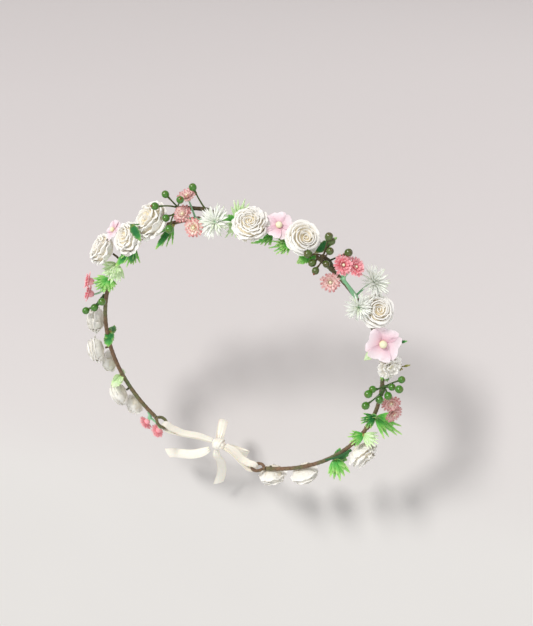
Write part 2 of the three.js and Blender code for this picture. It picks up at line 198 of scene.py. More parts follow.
class Shape:
    """Closed surfaces collected in millimetres. Each point has three numbers that the materials read:
    how far along its petal, leaf or strand it is, how far across, and its own petal's tone."""

    def __init__(self):
        self.points, self.grow, self.faces, self.looks = [], [], [], []
        self.materials, self.count = [], 0

    def add(self, look, points, grow, faces):
        if look not in self.materials:
            self.materials.append(look)
        self.points.append(np.asarray(points, float).reshape(-1, 3))
        self.grow.append(np.asarray(grow, float).reshape(-1, 3))
        for face in faces:
            self.faces.append([int(i) + self.count for i in face])
        self.looks += [self.materials.index(look)] * len(faces)
        self.count += len(self.points[-1])

    def shell(self, look, grid, grow, thickness):
        """A petal or leaf: a grid of points given the thickness, closed all round."""
        rows, cols = grid.shape[:2]
        across, along = np.gradient(grid, axis=1), np.gradient(grid, axis=0)
        normal = np.cross(across, along)
        normal /= np.maximum(np.linalg.norm(normal, axis=2, keepdims=True), 1e-9)
        back = grid - normal * thickness
        ids = np.arange(rows * cols).reshape(rows, cols)
        quads = np.stack([ids[:-1, :-1], ids[:-1, 1:], ids[1:, 1:], ids[1:, :-1]], axis=2).reshape(-1, 4)
        rim = np.concatenate([ids[0, :-1], ids[:-1, -1], ids[-1, :0:-1], ids[:0:-1, 0]])
        after = np.roll(rim, -1)
        below = rows * cols
        edge = np.stack([after, rim, rim + below, after + below], axis=1)
        faces = np.concatenate([quads, quads[:, ::-1] + below, edge])
        points = np.concatenate([grid.reshape(-1, 3), back.reshape(-1, 3)])
        self.add(look, points, np.concatenate([grow.reshape(-1, 3)] * 2), faces)

    def rings(self, look, rings, grow):
        """A tube or turned body from rings of points, closed by a point at each end."""
        count, sides = rings.shape[:2]
        ids = np.arange(count * sides).reshape(count, sides)
        first, last = count * sides, count * sides + 1
        faces = list(bands(ids))
        faces += [[first, b, a] for a, b in zip(ids[0], np.roll(ids[0], -1))]
        faces += [[last, a, b] for a, b in zip(ids[-1], np.roll(ids[-1], -1))]
        points = np.vstack([rings.reshape(-1, 3), rings[0].mean(0), rings[-1].mean(0)])
        numbers = np.vstack([grow.reshape(-1, 3), grow[0].mean(0), grow[-1].mean(0)])
        self.add(look, points, numbers, faces)

    def tube(self, look, path, radius, sides=7, tone=0.5):
        """A round stalk along `path`; `radius` may be one number or one for each point."""
        _, one, other = carried(path)
        turn = circle(sides)
        radius = np.broadcast_to(radius, len(path))[:, None, None]
        around = one[:, None] * np.cos(turn)[:, None] + other[:, None] * np.sin(turn)[:, None]
        rings = path[:, None] + radius * around
        along = np.linspace(0, 1, len(path))[:, None]
        self.rings(look, rings, marks(along, np.sin(turn), tone, rings))

    def turned(self, look, place, basis, outline, sides=12, lobes=0, depth=0.0, tone=0.5):
        """A turned body. `outline` is [radius, height] from back to front, along the last way of `basis`."""
        outline = np.asarray(outline, float)
        turn = circle(sides)
        dip = 1 - depth * (0.5 - 0.5 * np.cos(lobes * turn))
        radius = outline[:, :1] * dip
        local = np.stack([
            radius * np.cos(turn),
            radius * np.sin(turn),
            np.broadcast_to(outline[:, 1:], radius.shape),
        ], axis=2)
        along = np.linspace(0, 1, len(outline))[:, None]
        self.rings(look, place + local @ basis.T, marks(along, np.sin(turn), tone, radius))

    def piece(self, name, rides=True):
        """Makes the Blender object, which stands for the CAD node of its name and rides on its body."""
        mesh = bpy.data.meshes.new(name)
        points = np.concatenate(self.points)
        mesh.from_pydata((points * MM).tolist(), [], self.faces)
        for look in self.materials:
            mesh.materials.append(look)
        mesh.polygons.foreach_set("material_index", self.looks)
        mesh.polygons.foreach_set("use_smooth", [True] * len(self.faces))
        grow = mesh.attributes.new("grow", "FLOAT_VECTOR", "POINT")
        grow.data.foreach_set("vector", np.concatenate(self.grow).astype(np.float32).ravel())
        mesh.set_sharp_from_angle(angle=CREASE * DEGREE)
        mesh.update()
        made = bpy.data.objects.new(name, mesh)
        bpy.context.scene.collection.objects.link(made)
        if rides:
            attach(made, BODY_OF[name])
        if name in BODY_OF:
            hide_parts(name)
        return made


def dome(radius, low, high, steps=9, neck=0.0):
    """The outline of a rounded body from height `low` to `high`, with a `neck` drawn out at its back."""
    swing = np.linspace(0.04, math.pi - 0.04, steps)
    heights = (high + low) / 2 - np.cos(swing) * (high - low) / 2
    return np.stack([radius * np.sin(swing) ** 0.9, heights - neck * np.exp(-swing * 4)], axis=1)


# ------------ materials


def tint(code):
    """A colour written as six hex digits, as linear RGBA."""
    parts = [int(code[i:i + 2], 16) / 255 for i in (0, 2, 4)]
    return tuple(c / 12.92 if c <= 0.04045 else ((c + 0.055) / 1.055) ** 2.4 for c in parts) + (1.0,)


class Look:
    """A material's node tree. Numbers that are the same all over go on the shader's own sockets."""

    def __init__(self, name, **sockets):
        self.material = bpy.data.materials.new(name)
        self.material.use_nodes = True
        self.tree = self.material.node_tree
        self.tree.nodes.clear()
        self.shader = self.node("BsdfPrincipled", **sockets)
        self.node("OutputMaterial", Surface=self.shader.outputs[0])
        self.place = self.node("TexCoord").outputs["Object"]
        numbers = self.node("Attribute", {"attribute_name": "grow"}).outputs["Vector"]
        split = self.node("SeparateXYZ", Vector=numbers)
        self.numbers = numbers
        self.along, self.across, self.tone = split.outputs[0], split.outputs[1], split.outputs[2]

    def node(self, kind, settings=None, **inputs):
        made = self.tree.nodes.new("ShaderNode" + kind)
        for key, value in (settings or {}).items():
            setattr(made, key, value)
        for key, value in inputs.items():
            self.feed(made.inputs[key.replace("_", " ")], value)
        return made

    def feed(self, socket, value):
        if isinstance(value, bpy.types.NodeSocket):
            self.tree.links.new(value, socket)
        else:
            socket.default_value = value

    def math(self, operation, *values):
        made = self.tree.nodes.new("ShaderNodeMath")
        made.operation = operation
        for socket, value in zip(made.inputs, values):
            self.feed(socket, value)
        return made.outputs[0]

    def times(self, a, b):
        return self.math("MULTIPLY", a, b)

    def noise(self, scale, detail=3.0, roughness=0.55, vector=None):
        vector = vector or self.place
        made = self.node("TexNoise", Vector=vector, Scale=scale, Detail=detail, Roughness=roughness)
        return made.outputs["Fac"]

    def wave(self, amounts, **sockets):
        """Bands across the numbers of the shape, these stretched by `amounts`."""
        vector = self.stretched(self.numbers, amounts)
        return self.node("TexWave", Vector=vector, **sockets).outputs["Fac"]

    def strayed(self, cloud, amount):
        """How far along the petal or leaf it is, made uneven by a cloud."""
        stray = self.times(self.math("SUBTRACT", cloud, 0.5), amount)
        return self.math("ADD", self.along, stray)

    def stretched(self, vector, amounts):
        return self.node("Mapping", Vector=vector, Scale=amounts).outputs[0]

    def ramp(self, fac, stops):
        """`stops` gives a colour code, or a grey as a number, at each position."""
        made = self.node("ValToRGB", Fac=fac)
        elements = made.color_ramp.elements
        while len(elements) < len(stops):
            elements.new(0.5)
        for element, (position, code) in zip(elements, stops.items()):
            element.position = position
            element.color = tint(code) if isinstance(code, str) else (code, code, code, 1)
        return made.outputs["Color"]

    def mix(self, fac, a, b, blend="MIX"):
        made = self.tree.nodes.new("ShaderNodeMix")
        made.data_type, made.blend_type = "RGBA", blend
        self.feed(made.inputs[0], fac)
        self.feed(made.inputs[6], tint(a) if isinstance(a, str) else a)
        self.feed(made.inputs[7], tint(b) if isinstance(b, str) else b)
        return made.outputs[2]

    def span(self, value, low, high):
        """A 0 to 1 number moved to the range from low to high."""
        return self.node("MapRange", Value=value, To_Min=low, To_Max=high).outputs[0]

    def bumps(self, *layers):
        """Layers of (height, strength, distance in mm), one over the other."""
        normal = None
        for height, strength, distance in layers:
            made = self.node("Bump", Height=height, Strength=strength, Distance=distance * MM)
            if normal is not None:
                self.feed(made.inputs["Normal"], normal)
            normal = made.outputs[0]
        self.feed(self.shader.inputs["Normal"], normal)

    def finish(self, colour, roughness):
        self.feed(self.shader.inputs["Base Color"], colour)
        self.feed(self.shader.inputs["Roughness"], roughness)
        return self.material


def paper(name, stops, heart, tired="EFE9DA"):
    """Mulberry paper: soft fibres, a mottled tone and a deeper colour towards the roots and the heart, which
    in the white roses is painted shade and in the pink blossoms their own deeper pink.
    """
    look = Look(
        name, Subsurface_Weight=0.3, Subsurface_Scale=0.0012, Subsurface_Radius=(1.0, 0.94, 0.86),
        Sheen_Weight=0.1, Sheen_Roughness=0.6,
    )
    # The colour from root to rim, and the heart colour mixed in towards the root: in the white roses painted
    # shade, in the pink blossoms their own deeper pink.
    body = look.ramp(look.along, stops)
    heart_tint_and_shade = look.times(look.math("SUBTRACT", 1.0, look.along), look.tone)
    body = look.mix(look.times(heart_tint_and_shade, 0.7), body, heart)
    mottle = look.noise(320, 4)
    body = look.mix(look.span(mottle, -0.1, 0.2), body, tired, "MULTIPLY")
    fibres = look.noise(1500, 5, 0.7, look.stretched(look.place, (1.0, 1.0, 0.35)))
    creases = look.wave((0.6, 6.0, 1.0), Scale=1.2, Distortion=3.0, Detail=2.0)
    look.bumps((fibres, 0.3, 0.1), (creases, 0.2, 0.15), (mottle, 0.25, 0.3))
    return look.finish(body, look.span(fibres, 0.7, 0.95))


def moulded(name, soft, colour_of_light):
    sockets = {"Subsurface_Weight": soft, "Subsurface_Scale": 0.001, "Subsurface_Radius": colour_of_light}
    return Look(name, IOR=1.46, **sockets)


def plastic(name, stops, wander, soft=0.15):
    """Moulded soft plastic: a colour that changes from root to tip and a little from petal to petal."""
    look = moulded(name, soft, (1.0, 0.9, 0.8))
    cloud = look.noise(260, 3)
    body = look.ramp(look.strayed(cloud, 0.35), stops)
    body = look.mix(look.times(look.tone, look.span(cloud, 0.35, 1.0)), body, wander)
    ribs = look.wave((0.3, 4.0, 1.0), Scale=1.5, Distortion=0.6)
    look.bumps((ribs, 0.25, 0.2), (look.noise(2200, 3, 0.6), 0.2, 0.05))
    return look.finish(body, look.span(cloud, 0.36, 0.55))


def leaf(name, stops, wander, soft=0.1):
    """A moulded leaf: veins that fan from the midrib, mottled greens, a paler edge."""
    look = moulded(name, soft, (0.7, 1.0, 0.4))
    cloud = look.noise(300, 4)
    body = look.ramp(look.strayed(cloud, 0.5), stops)
    body = look.mix(look.times(look.tone, look.span(cloud, 0.5, 1.0)), body, wander)
    side = look.math("ABSOLUTE", look.across)
    body = look.mix(look.times(look.math("POWER", side, 5.0), 0.35), body, "D9EE9C")
    rise = look.math("ADD", look.times(look.along, 9.0), look.times(side, -2.2))
    look.bumps((look.math("PINGPONG", rise, 0.5), 0.5, 0.3), (look.noise(1800, 3), 0.25, 0.06))
    return look.finish(body, look.span(cloud, 0.35, 0.6))


def berry_look(name, root, flesh, tip):
    """A lacquered berry: glossy, browner at its stalk and at its tip, with small freckles."""
    coat = {"Coat_Weight": 0.6, "Coat_Roughness": 0.12}
    look = Look(name, Subsurface_Weight=0.08, Subsurface_Scale=0.001, **coat)
    cloud = look.noise(420, 3)
    freckles = look.ramp(look.noise(1600, 2), {0.62: 0.0, 0.72: 1.0})
    body = look.ramp(look.strayed(cloud, 0.22), {0.0: root, 0.3: flesh, 0.72: flesh, 1.0: tip})
    body = look.mix(look.times(look.tone, 0.55), body, root)
    body = look.mix(look.times(freckles, 0.25), body, "6FA84A")
    look.bumps((cloud, 0.2, 0.2), (look.noise(2600, 2), 0.12, 0.04))
    return look.finish(body, look.span(cloud, 0.22, 0.38))


def tape_look(name, dark, light, green):
    """Waxed crepe paper tape: fine creases along the wrap, and stained patches."""
    look = Look(name, Sheen_Weight=0.08)
    crepe = look.wave((1.0, 1.0, 0.0), Scale=3.2, Distortion=4.0, Detail=3.0)
    stain = look.noise(170, 4)
    body = look.mix(look.span(stain, -0.1, 1.1), dark, light)
    body = look.mix(look.ramp(look.noise(60, 2), {0.45: 0.0, 0.62: 0.7}), body, green)
    body = look.mix(look.times(look.tone, 0.5), body, dark, "MULTIPLY")
    look.bumps((crepe, 0.5, 0.15), (look.noise(2400, 4), 0.4, 0.08))
    return look.finish(body, look.span(crepe, 0.62, 0.9))


def satin_look(name):
    """Ivory satin: a fine weave across, a soft sheen and a firmer woven edge."""
    look = Look(
        name, Sheen_Weight=0.35, Sheen_Roughness=0.35, Anisotropic=0.45,
        Subsurface_Weight=0.08, Subsurface_Scale=0.001,
    )
    warp = look.wave((0.0, 9.0, 0.0), Scale=1.6, Distortion=0.4)
    weft = look.wave((1.0, 0.0, 0.0), Scale=1.1, Distortion=0.3)
    cloud = look.noise(190, 3)
    edge = look.ramp(look.math("ABSOLUTE", look.across), {0.82: 0.0, 0.9: 1.0})
    body = look.mix(look.span(cloud, 0.0, 0.8), "F6F3E9", "E9E3D2")
    body = look.mix(look.times(edge, 0.4), body, "DDD6C2")
    look.bumps((warp, 0.25, 0.06), (weft, 0.2, 0.05), (edge, 0.4, 0.1))
    return look.finish(body, look.span(cloud, 0.3, 0.46))


def steel_look(name):
    look = Look(name, Metallic=0.9)
    drawn = look.noise(900, 4, 0.6, look.stretched(look.place, (1.0, 1.0, 0.2)))
    body = look.mix(drawn, "7C7E7B", "9A9C98")
    look.bumps((drawn, 0.2, 0.05))
    return look.finish(body, look.span(drawn, 0.28, 0.5))


# The white paper's cream roots and tan heart are painted shade deep in the roses; the paper itself is white.
WHITE_PAPER = paper(
    "white_paper", {0.0: "ECE3CE", 0.3: "F3EFE3", 0.62: "F7F5EE", 1.0: "F9F7F2"}, "E6D3AC", "F5F2E8",
)
# Painted shade: cream-tan paper for the filled heart of each rose, seen only in the gaps between the petals.
CREVICE_SHADE_PAPER = paper("crevice_shade_paper", {0.0: "EFE9DA", 0.5: "EAE0C8", 1.0: "E4D4B0"}, "DCC494")
PINK_PAPER = paper(
    "pink_paper", {0.0: "DA98AA", 0.25: "E9C4D0", 0.6: "EED8DF", 1.0: "F1E3E8"}, "DE9EB0", "F2E8EC",
)
BEAD = paper("bead", {0.0: "D3D49A", 0.5: "E6E5BC", 1.0: "EFEDD0"}, "C6C684")
WHITE_PLASTIC = plastic(
    "white_plastic", {0.0: "DCE6D2", 0.25: "EFF2EA", 0.8: "F4F5F1", 1.0: "EDF2E4"}, "D3E5B8", soft=0.15,
)
CORAL_PLASTIC = plastic(
    "coral_plastic", {0.0: "BC4652", 0.35: "E87C88", 0.8: "F2A0A8", 1.0: "F8C2C6"}, "F5B8BE", soft=0.1,
)
DUSTY_PLASTIC = plastic(
    "dusty_plastic", {0.0: "DCC6AE", 0.4: "EFD6CE", 0.75: "E7B4B2", 1.0: "B4565C"}, "F0E0D8", soft=0.1,
)
SUNNY_PLASTIC = plastic(
    "sunny_plastic", {0.0: "EFE6B8", 0.5: "F4E6D8", 0.72: "EEC2BE", 1.0: "CC4856"}, "F6ECDA", soft=0.1,
)
PICK_GREEN = plastic("pick_green", {0.0: "7CBC8A", 0.5: "98CEA2", 1.0: "B0DCB4"}, "7AB688")
LEAF_GREEN = leaf(
    "leaf_green", {0.0: "B4AC48", 0.16: "2E8636", 0.5: "1A702C", 0.78: "4CA848", 1.0: "B4DC7C"}, "0E6232",
)
FRESH_LEAF = leaf(
    "fresh_leaf", {0.0: "6AA63C", 0.3: "44A63C", 0.65: "7CCA58", 1.0: "C8EC98"}, "3A9C40", soft=0.06,
)
PALE_LEAF = leaf(
    "pale_leaf", {0.0: "AED684", 0.3: "C4E8A6", 0.7: "DCF4C6", 1.0: "EEFADC"}, "B4E294", soft=0.1,
)
OLIVE_LEAF = leaf("olive_leaf", {0.0: "6A6428", 0.4: "8C8A3C", 1.0: "B4B468"}, "9A7A34")
GREEN_BERRY = berry_look("green_berry", "2C5206", "3A7A04", "56700E")
OLIVE_BERRY = berry_look("olive_berry", "302E10", "465C12", "5A4A20")
RED_TIP = plastic("red_tip", {0.0: "4E6A1E", 0.5: "84421F", 1.0: "96352A"}, "5A3420")
TAPE_LOOK = tape_look("paper_tape", "4E3A26", "96765A", "5A7444")
STEM_LOOK = tape_look("stem_tape", "3A3016", "6A5A30", "3E6A2A")
OLIVE_STEM = tape_look("olive_stem", "3C4A16", "6C7E34", "2E6A2A")
GREEN_STEM = tape_look("green_stem", "1C5228", "3A7E3C", "22622E")
SATIN = satin_look("satin")
STEEL = steel_look("wire")

for node, thing in frame["nodes"].items():
    if node.startswith("wire_") and not node.startswith("wire_eye"):
        thing.data.materials.clear()
        thing.data.materials.append(STEEL)

# ------------ the ribbon


def strip(shape, path, side, width, thickness=RIBBON_THICKNESS, cup=0.0, folds=0.0, slant=0.0):
    """A flat ribbon along `path`, its width along `side`. `width` and `folds` may change along it."""
    count = len(path)
    tangents, sides, normals = carried(path, side)
    u = np.linspace(-1, 1, 11)  # from edge to edge
    half = np.broadcast_to(width, count)[:, None] / 2
    ripple = np.broadcast_to(folds, count)[:, None] * np.cos(u * math.pi * 2.5)
    rise = cup * (u**2 - 0.4) + ripple
    grid = path[:, None] + sides[:, None] * (half * u)[..., None] + normals[:, None] * rise[..., None]
    ends = np.linspace(0, 1, count)[:, None] ** 12 * slant * u
    grid = grid + tangents[:, None] * ends[..., None]
    shape.shell(SATIN, grid, marks(lengths(path)[:, None], u, 0.5, grid), thickness)


def gathered(count, narrow, wide, both):
    """Widths along a ribbon that is pinched where it enters the knot."""
    t = np.linspace(0, 1, count)
    pinch = np.exp(-t * 9) + (np.exp(-(1 - t) * 9) if both else 0)
    return wide + (narrow - wide) * np.clip(pinch, 0, 1)


# Routes from the knot outwards as [angle, reach, height], and the way each ribbon lies across.
BOW = {
    "bow_loop_left": {
        "side": (-0.97, 0, -0.25),
        "route": [(179.3, 78.1, -8.8), (178.4, 75.4, -13.2), (177.2, 74.5, -19), (176.3, 77, -24.2),
                  (176.5, 81.5, -24.2), (177.5, 83.7, -19), (178.5, 82.8, -13.2), (179.3, 80.1, -9)],
        "far_end": "object",
    },
    "bow_loop_right": {
        "side": (0, 0.79, 0.62),
        "route": [(-177.9, 83.2, -8.1), (-177, 86.3, -12.1), (-174.7, 89.5, -15.9), (-171.5, 91.4, -17.6),
                  (-169.3, 89.8, -15), (-170.5, 86.4, -11), (-173.6, 83.6, -8.2), (-176.8, 82.4, -7.1)],
        "far_end": "object",
    },
    "ribbon_tail_left": {
        "side": (0.5, -0.7, -0.45),
        "route": [(177.2, 82.9, -1.4), (174.8, 87.8, -1.1), (171.5, 94.5, -2.5), (168, 101.5, -5.5),
                  (165.5, 108.5, -9.5), (163.8, 115, -12.5)],
        "far_end": "bare",
    },
    "ribbon_tail_right": {
        "side": (0.93, 0.15, 0.32),
        "route": [(-179.8, 83, -2.6), (-179.2, 88, -3.4), (-178, 94, -7), (-177.8, 100.5, -10.5),
                  (-177.8, 107, -13.5), (-178, 114, -15.5), (-178.4, 121, -16.5)],
        "far_end": "bare",
    },
}


def make_bow():
    for name, ribbon in BOW.items():
        loop = ribbon["far_end"] == "object"
        path = spline([at(*p) for p in ribbon["route"]], 34)
        shape = Shape()
        strip(
            shape,
            path,
            ribbon["side"],
            gathered(len(path), 2.4, RIBBON_WIDTH - 0.3, both=loop),
            cup=0.5,
            folds=gathered(len(path), 0.35, 0.03, both=loop),
            slant=0.0 if loop else 2.2,
        )
        made = shape.piece(name)


# Each strand runs from the knot through its eye, round the far rim and back, as [angle, reach, height].
STRANDS = {
    "left": [
        (176.8, 79.6, -5), (170.5, 80.6, -4), (164.3, 83.4, -2), (160.9, 85, -0.95), (158.8, 86, -0.25),
        (156.9, 86.2, 0), (155.7, 85.5, 0), (155.3, 84.5, 0), (155.7, 83.5, 0), (156.9, 82.8, 0),
        (158.8, 82.9, -0.25), (160.9, 82.7, -0.95), (164.3, 82.2, -2), (170.5, 79.4, -4), (176.8, 78.4, -5),
    ],
    "right": [
        (-176.8, 79.6, -5), (-172.5, 80.6, -4), (-168.3, 83.4, -2), (-166.2, 85, -1.05), (-164.8, 86, -0.35),
        (-162.9, 86.2, 0), (-161.7, 85.5, 0), (-161.3, 84.5, 0), (-161.7, 83.5, 0), (-162.9, 82.8, 0),
        (-164.8, 82.9, -0.35), (-166.2, 82.7, -1.05), (-168.3, 82.2, -2), (-172.5, 79.4, -4),
        (-176.8, 78.4, -5),
    ],
}


def make_strands():
    for side, route in STRANDS.items():
        path = spline([at(*p) for p in route], 90)
        t = np.linspace(-1, 1, len(path))
        width = 5.4 - 1.6 * np.exp(-(t / 0.22) ** 2) - 1.8 * np.clip((np.abs(t) - 0.86) / 0.14, 0, 1)
        folds = 0.03 + 0.12 * np.exp(-(t / 0.25) ** 2) + 0.1 * np.clip((np.abs(t) - 0.8) / 0.2, 0, 1)
        shape = Shape()
        strip(shape, path, (0, 0, 1), width, thickness=0.35, cup=0.1, folds=folds)
        made = shape.piece(f"ribbon_strand_{side}", rides=False)
        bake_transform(made)


def make_knot():
    """A tight lump of folded ribbon with a band drawn round its middle."""
    low, high = (np.array(c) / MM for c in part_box("ribbon_knot"))
    middle, half = (low + high) / 2, (high - low) / 2
    shape = Shape()
    swing = np.linspace(0.08, math.pi - 0.08, 26)[:, None]
    turn = circle(28)[None, :]
    away = 1 - np.sin(swing) ** 2
    crumple = 1 + 0.13 * np.sin(turn * 5 + 2.2 * np.cos(swing)) * (0.25 + away) - 0.05 * np.cos(turn * 3)
    waist = 1 - 0.1 * np.exp(-(np.cos(swing) / 0.35) ** 2)
    radius = np.sin(swing) ** 0.7 * crumple * waist
    local = np.stack([
        np.broadcast_to(-np.cos(swing), radius.shape) * half[0],
        radius * np.cos(turn) * half[1],
        radius * np.sin(turn) * half[2],
    ], axis=2)
    shape.rings(SATIN, middle + local, marks(swing * 2, np.sin(turn * 2.5), 0.5, radius))
    around = np.linspace(0, 2 * math.pi, 40)
    band = middle + np.stack([
        0.5 * np.sin(around),
        (half[1] * 1.02) * np.cos(around),
        (half[2] * 1.02) * np.sin(around),
    ], axis=1)
    strip(shape, band, (1, 0.1, 0.15), 3.6, thickness=0.5, cup=-0.5, folds=0.14)
    shape.piece("ribbon_knot")


make_bow()
make_strands()
make_knot()

# ------------ the taped circlet

WRAP = 3.2  # how far along the wire one turn of tape goes
LAP = 0.14  # how proud each turn's edge stands
TAPE_SIDES = 14
TAPE_GAP = 0.12  # between the tape of two bodies, in degrees
BEND_HALF = 2.2  # half of the tape over a hinge, in degrees


def taped(shape, path, radius, inside, seed, wrap=WRAP, lap=LAP):
    """A tube wound with tape: each turn steps up over the last. With `inside`, it is open for the wire."""
    rng = np.random.default_rng(seed)
    _, one, other = carried(path, (0, 0, 1) if inside else None)
    turn = circle(TAPE_SIDES)[None, :]
    phase = (lengths(path)[:, None] / wrap + turn / (2 * math.pi)) % 1.0
    crumple = rng.normal(0, 0.25, (len(path), TAPE_SIDES)) * lap
    outer = radius + lap * (phase - 0.6) + crumple * 0.6
    across = one[:, None] * np.cos(turn)[..., None] + other[:, None] * np.sin(turn)[..., None]
    rings = path[:, None] + across * outer[..., None]
    grow = marks(phase * 6, turn, (phase < 0.12) * 1.0, phase)
    if not inside:
        shape.rings(TAPE_LOOK, rings, grow)
        return
    bore = (path[:, None] + across * inside)[::-1]
    hollow = np.concatenate([rings, bore])
    ids = np.arange(len(hollow) * TAPE_SIDES).reshape(len(hollow), TAPE_SIDES)
    quads = bands(np.vstack([ids, ids[:1]]))
    shape.add(TAPE_LOOK, hollow, np.concatenate([grow, grow[::-1]]), quads)


def arc(start, end):
    """Points along the wire about 0.7 mm apart."""
    count = int(abs(end - start) * DEGREE * RING / 0.7) + 2
    return np.array([at(angle, RING) for angle in np.linspace(start, end, count)])


def make_circlet():
    arcs = {
        "front": (RIGHT_FLEX + TAPE_GAP, LEFT_FLEX - TAPE_GAP),
        "left": (LEFT_FLEX + TAPE_GAP, LEFT_END),
        "right": (RIGHT_FLEX - TAPE_GAP, RIGHT_END),
    }
    for seed, (side, ends) in enumerate(arcs.items()):
        shape = Shape()
        taped(shape, arc(*ends), TAPE - 0.1, TAPE_INSIDE, seed)
        shape.piece(f"paper_tape_{side}")
    for side, flex in (("left", LEFT_FLEX), ("right", RIGHT_FLEX)):
        shape = Shape()
        outwards = math.copysign(1, flex)
        half = BEND_HALF * outwards
        taped(shape, arc(flex - half, flex + half), TAPE + 0.22, TAPE + 0.06, 5, wrap=2.4)
        made = shape.piece(f"tape_bend_{side}", rides=False)
        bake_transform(made)
    for side, last in (("left", LEFT_END), ("right", RIGHT_END)):
        onwards = math.copysign(1, last)
        basis = np.stack([at(last + 90, 1) * onwards, at(last, 1), [0, 0, 1]], axis=1)
        swing = np.linspace(math.pi + 0.35, 3 * math.pi - 0.35, 60)
        rim = np.stack([
            EYE_REACH + EYE_RADIUS * np.cos(swing),
            0.5 * np.cos(swing / 2),
            EYE_RADIUS * np.sin(swing),
        ], axis=1)
        shank = spline([[0.4, 0, 0.25], [1.2, 0, 0.2], [2.0, 0, 0.1]], 8)
        shape = Shape()
        taped(shape, at(last, RING) + rim @ basis.T, EYE_WIRE - 0.06, None, 7, wrap=2.2, lap=0.12)
        taped(shape, at(last, RING) + shank @ basis.T, EYE_WIRE + 0.35, None, 8, wrap=1.6, lap=0.15)
        shape.piece(f"wire_eye_{side}")


make_circlet()

# ------------ petals

# How wide a petal is from its root to its tip, as a share of its full width.
PROFILES = {
    "square": ((0, 0.3, 0.6, 0.85, 0.95, 1), (0.25, 0.76, 0.98, 1, 0.9, 0.6)),
    "needle": ((0, 0.45, 0.8, 1), (0.4, 1, 0.75, 0.12)),
    "blunt": ((0, 0.4, 0.75, 0.92, 1), (0.4, 0.85, 1, 0.85, 0.5)),
}


def crinkle(u, v, wave):
    """Soft waves and finer creases, from -1 to 1, that grow towards a petal's rim."""
    waves = 0.5 * np.sin(2.8 * u + wave)
    creases = 0.3 * np.sin(6.1 * u + 2 * wave + 2 * v)
    fine = 0.2 * np.cos(9.7 * u - wave + 4 * v)
    return v**2 * (waves + creases + fine)


def across_and_along(rows, cols):
    """The two numbers of a petal's grid: -1 to 1 from edge to edge, and 0 to 1 from root to rim."""
    return np.linspace(-1, 1, cols)[None, :], np.linspace(0, 1, rows)[:, None]


def cupped_petal(shape, place, basis, size, turn, half, outline, rng, ruffle, tone):
    """A petal that wraps round the flower's axis. `outline` is [reach, height] from its root to its rim."""
    u, v = across_and_along(8, 13)
    reach = v * (1 - 0.15 * np.abs(u) ** 2.4)
    curve = spline(outline, 50)
    share = np.linspace(0, 1, 50)
    r, h = np.interp(reach, share, curve[:, 0]), np.interp(reach, share, curve[:, 1])
    spread = half * DEGREE * (0.6 + 0.4 * np.sin(np.minimum(v / 0.55, 1) * math.pi / 2))
    angle = turn * DEGREE + spread * u
    wave = rng.uniform(0, 2 * math.pi, 2)
    r = r + 0.06 * u + ruffle * crinkle(u, reach, wave[0])
    h = h + ruffle * crinkle(u, reach, wave[1])
    local = size * np.stack([r * np.cos(angle), r * np.sin(angle), h], axis=2)
    shape.shell(WHITE_PAPER, place + local @ basis.T, marks(reach, u, tone, reach), 0.18)


def spread_petal(
    shape, look, place, basis, turn, root, length, width, lift, cup, rng, profile, tone, sag, thickness,
    notch=0.0, ruffle=0.0,
):
    """A petal of its own outline, from `root` outwards. `lift` is its slope in degrees, `cup` its depth."""
    u, v = across_and_along(12, 13) if profile == "square" else across_and_along(7, 5)
    half = np.interp(v, *PROFILES[profile]) * width / 2
    along = length * v * (1 - notch * np.exp(-(u / 0.3) ** 2) * v**3)
    slope = lift * DEGREE
    out = root + along * math.cos(slope)
    wave = rng.uniform(0, 2 * math.pi)
    rise = along * math.sin(slope) + cup * u**2 * np.sin(v * math.pi * 0.9) - sag * v**2
    rise = rise + ruffle * crinkle(u, v, wave)
    c, s = math.cos(turn * DEGREE), math.sin(turn * DEGREE)
    side = half * u
    local = np.stack([out * c - side * s, out * s + side * c, rise + 0 * u], axis=2)
    shape.shell(look, place + local @ basis.T, marks(v, u, tone, side), thickness)


def stem_to(shape, angle, place, way, back, look=STEM_LOOK, radius=STEM):
    """A head's wire stem, from the tape's surface round to the back of the head."""
    across = unit(np.array([0, -(np.hypot(place[0], place[1]) - RING), place[2]]))
    out = at(angle, 1)
    foot = at(angle, RING) + (out * -across[1] + np.array([0, 0, across[2]])) * (TAPE + 0.1)
    end = place - unit(way) * back
    path = spline([foot, foot + (end - foot) * 0.5 - unit(way) * 0.6, end], 8)
    shape.tube(look, path, np.linspace(radius * 1.1, radius, 8))


def make_all(table, make, first_seed):
    """Makes each piece of a table, with random numbers of its own."""
    for seed, name in enumerate(table):
        make(name, np.random.default_rng(first_seed + seed))


def seated(spot, gaze, spin=0.0):
    """Where a head is, the way it looks and its basis."""
    way = facing(spot[0], *gaze)
    return at(*spot), way, axes(way, spin)


# ------------ roses


def cup(rim, height, curl):
    """The outline of a petal whose rim stands at `rim` and `height` and rolls outwards by `curl`."""
    return [(0.1, -0.5), (0.62 * rim, -0.44 + 0.2 * height), (0.87 * rim, 0.55 * height - 0.12),
            (0.96 * rim, height), (rim + curl, height - 0.4 * curl)]


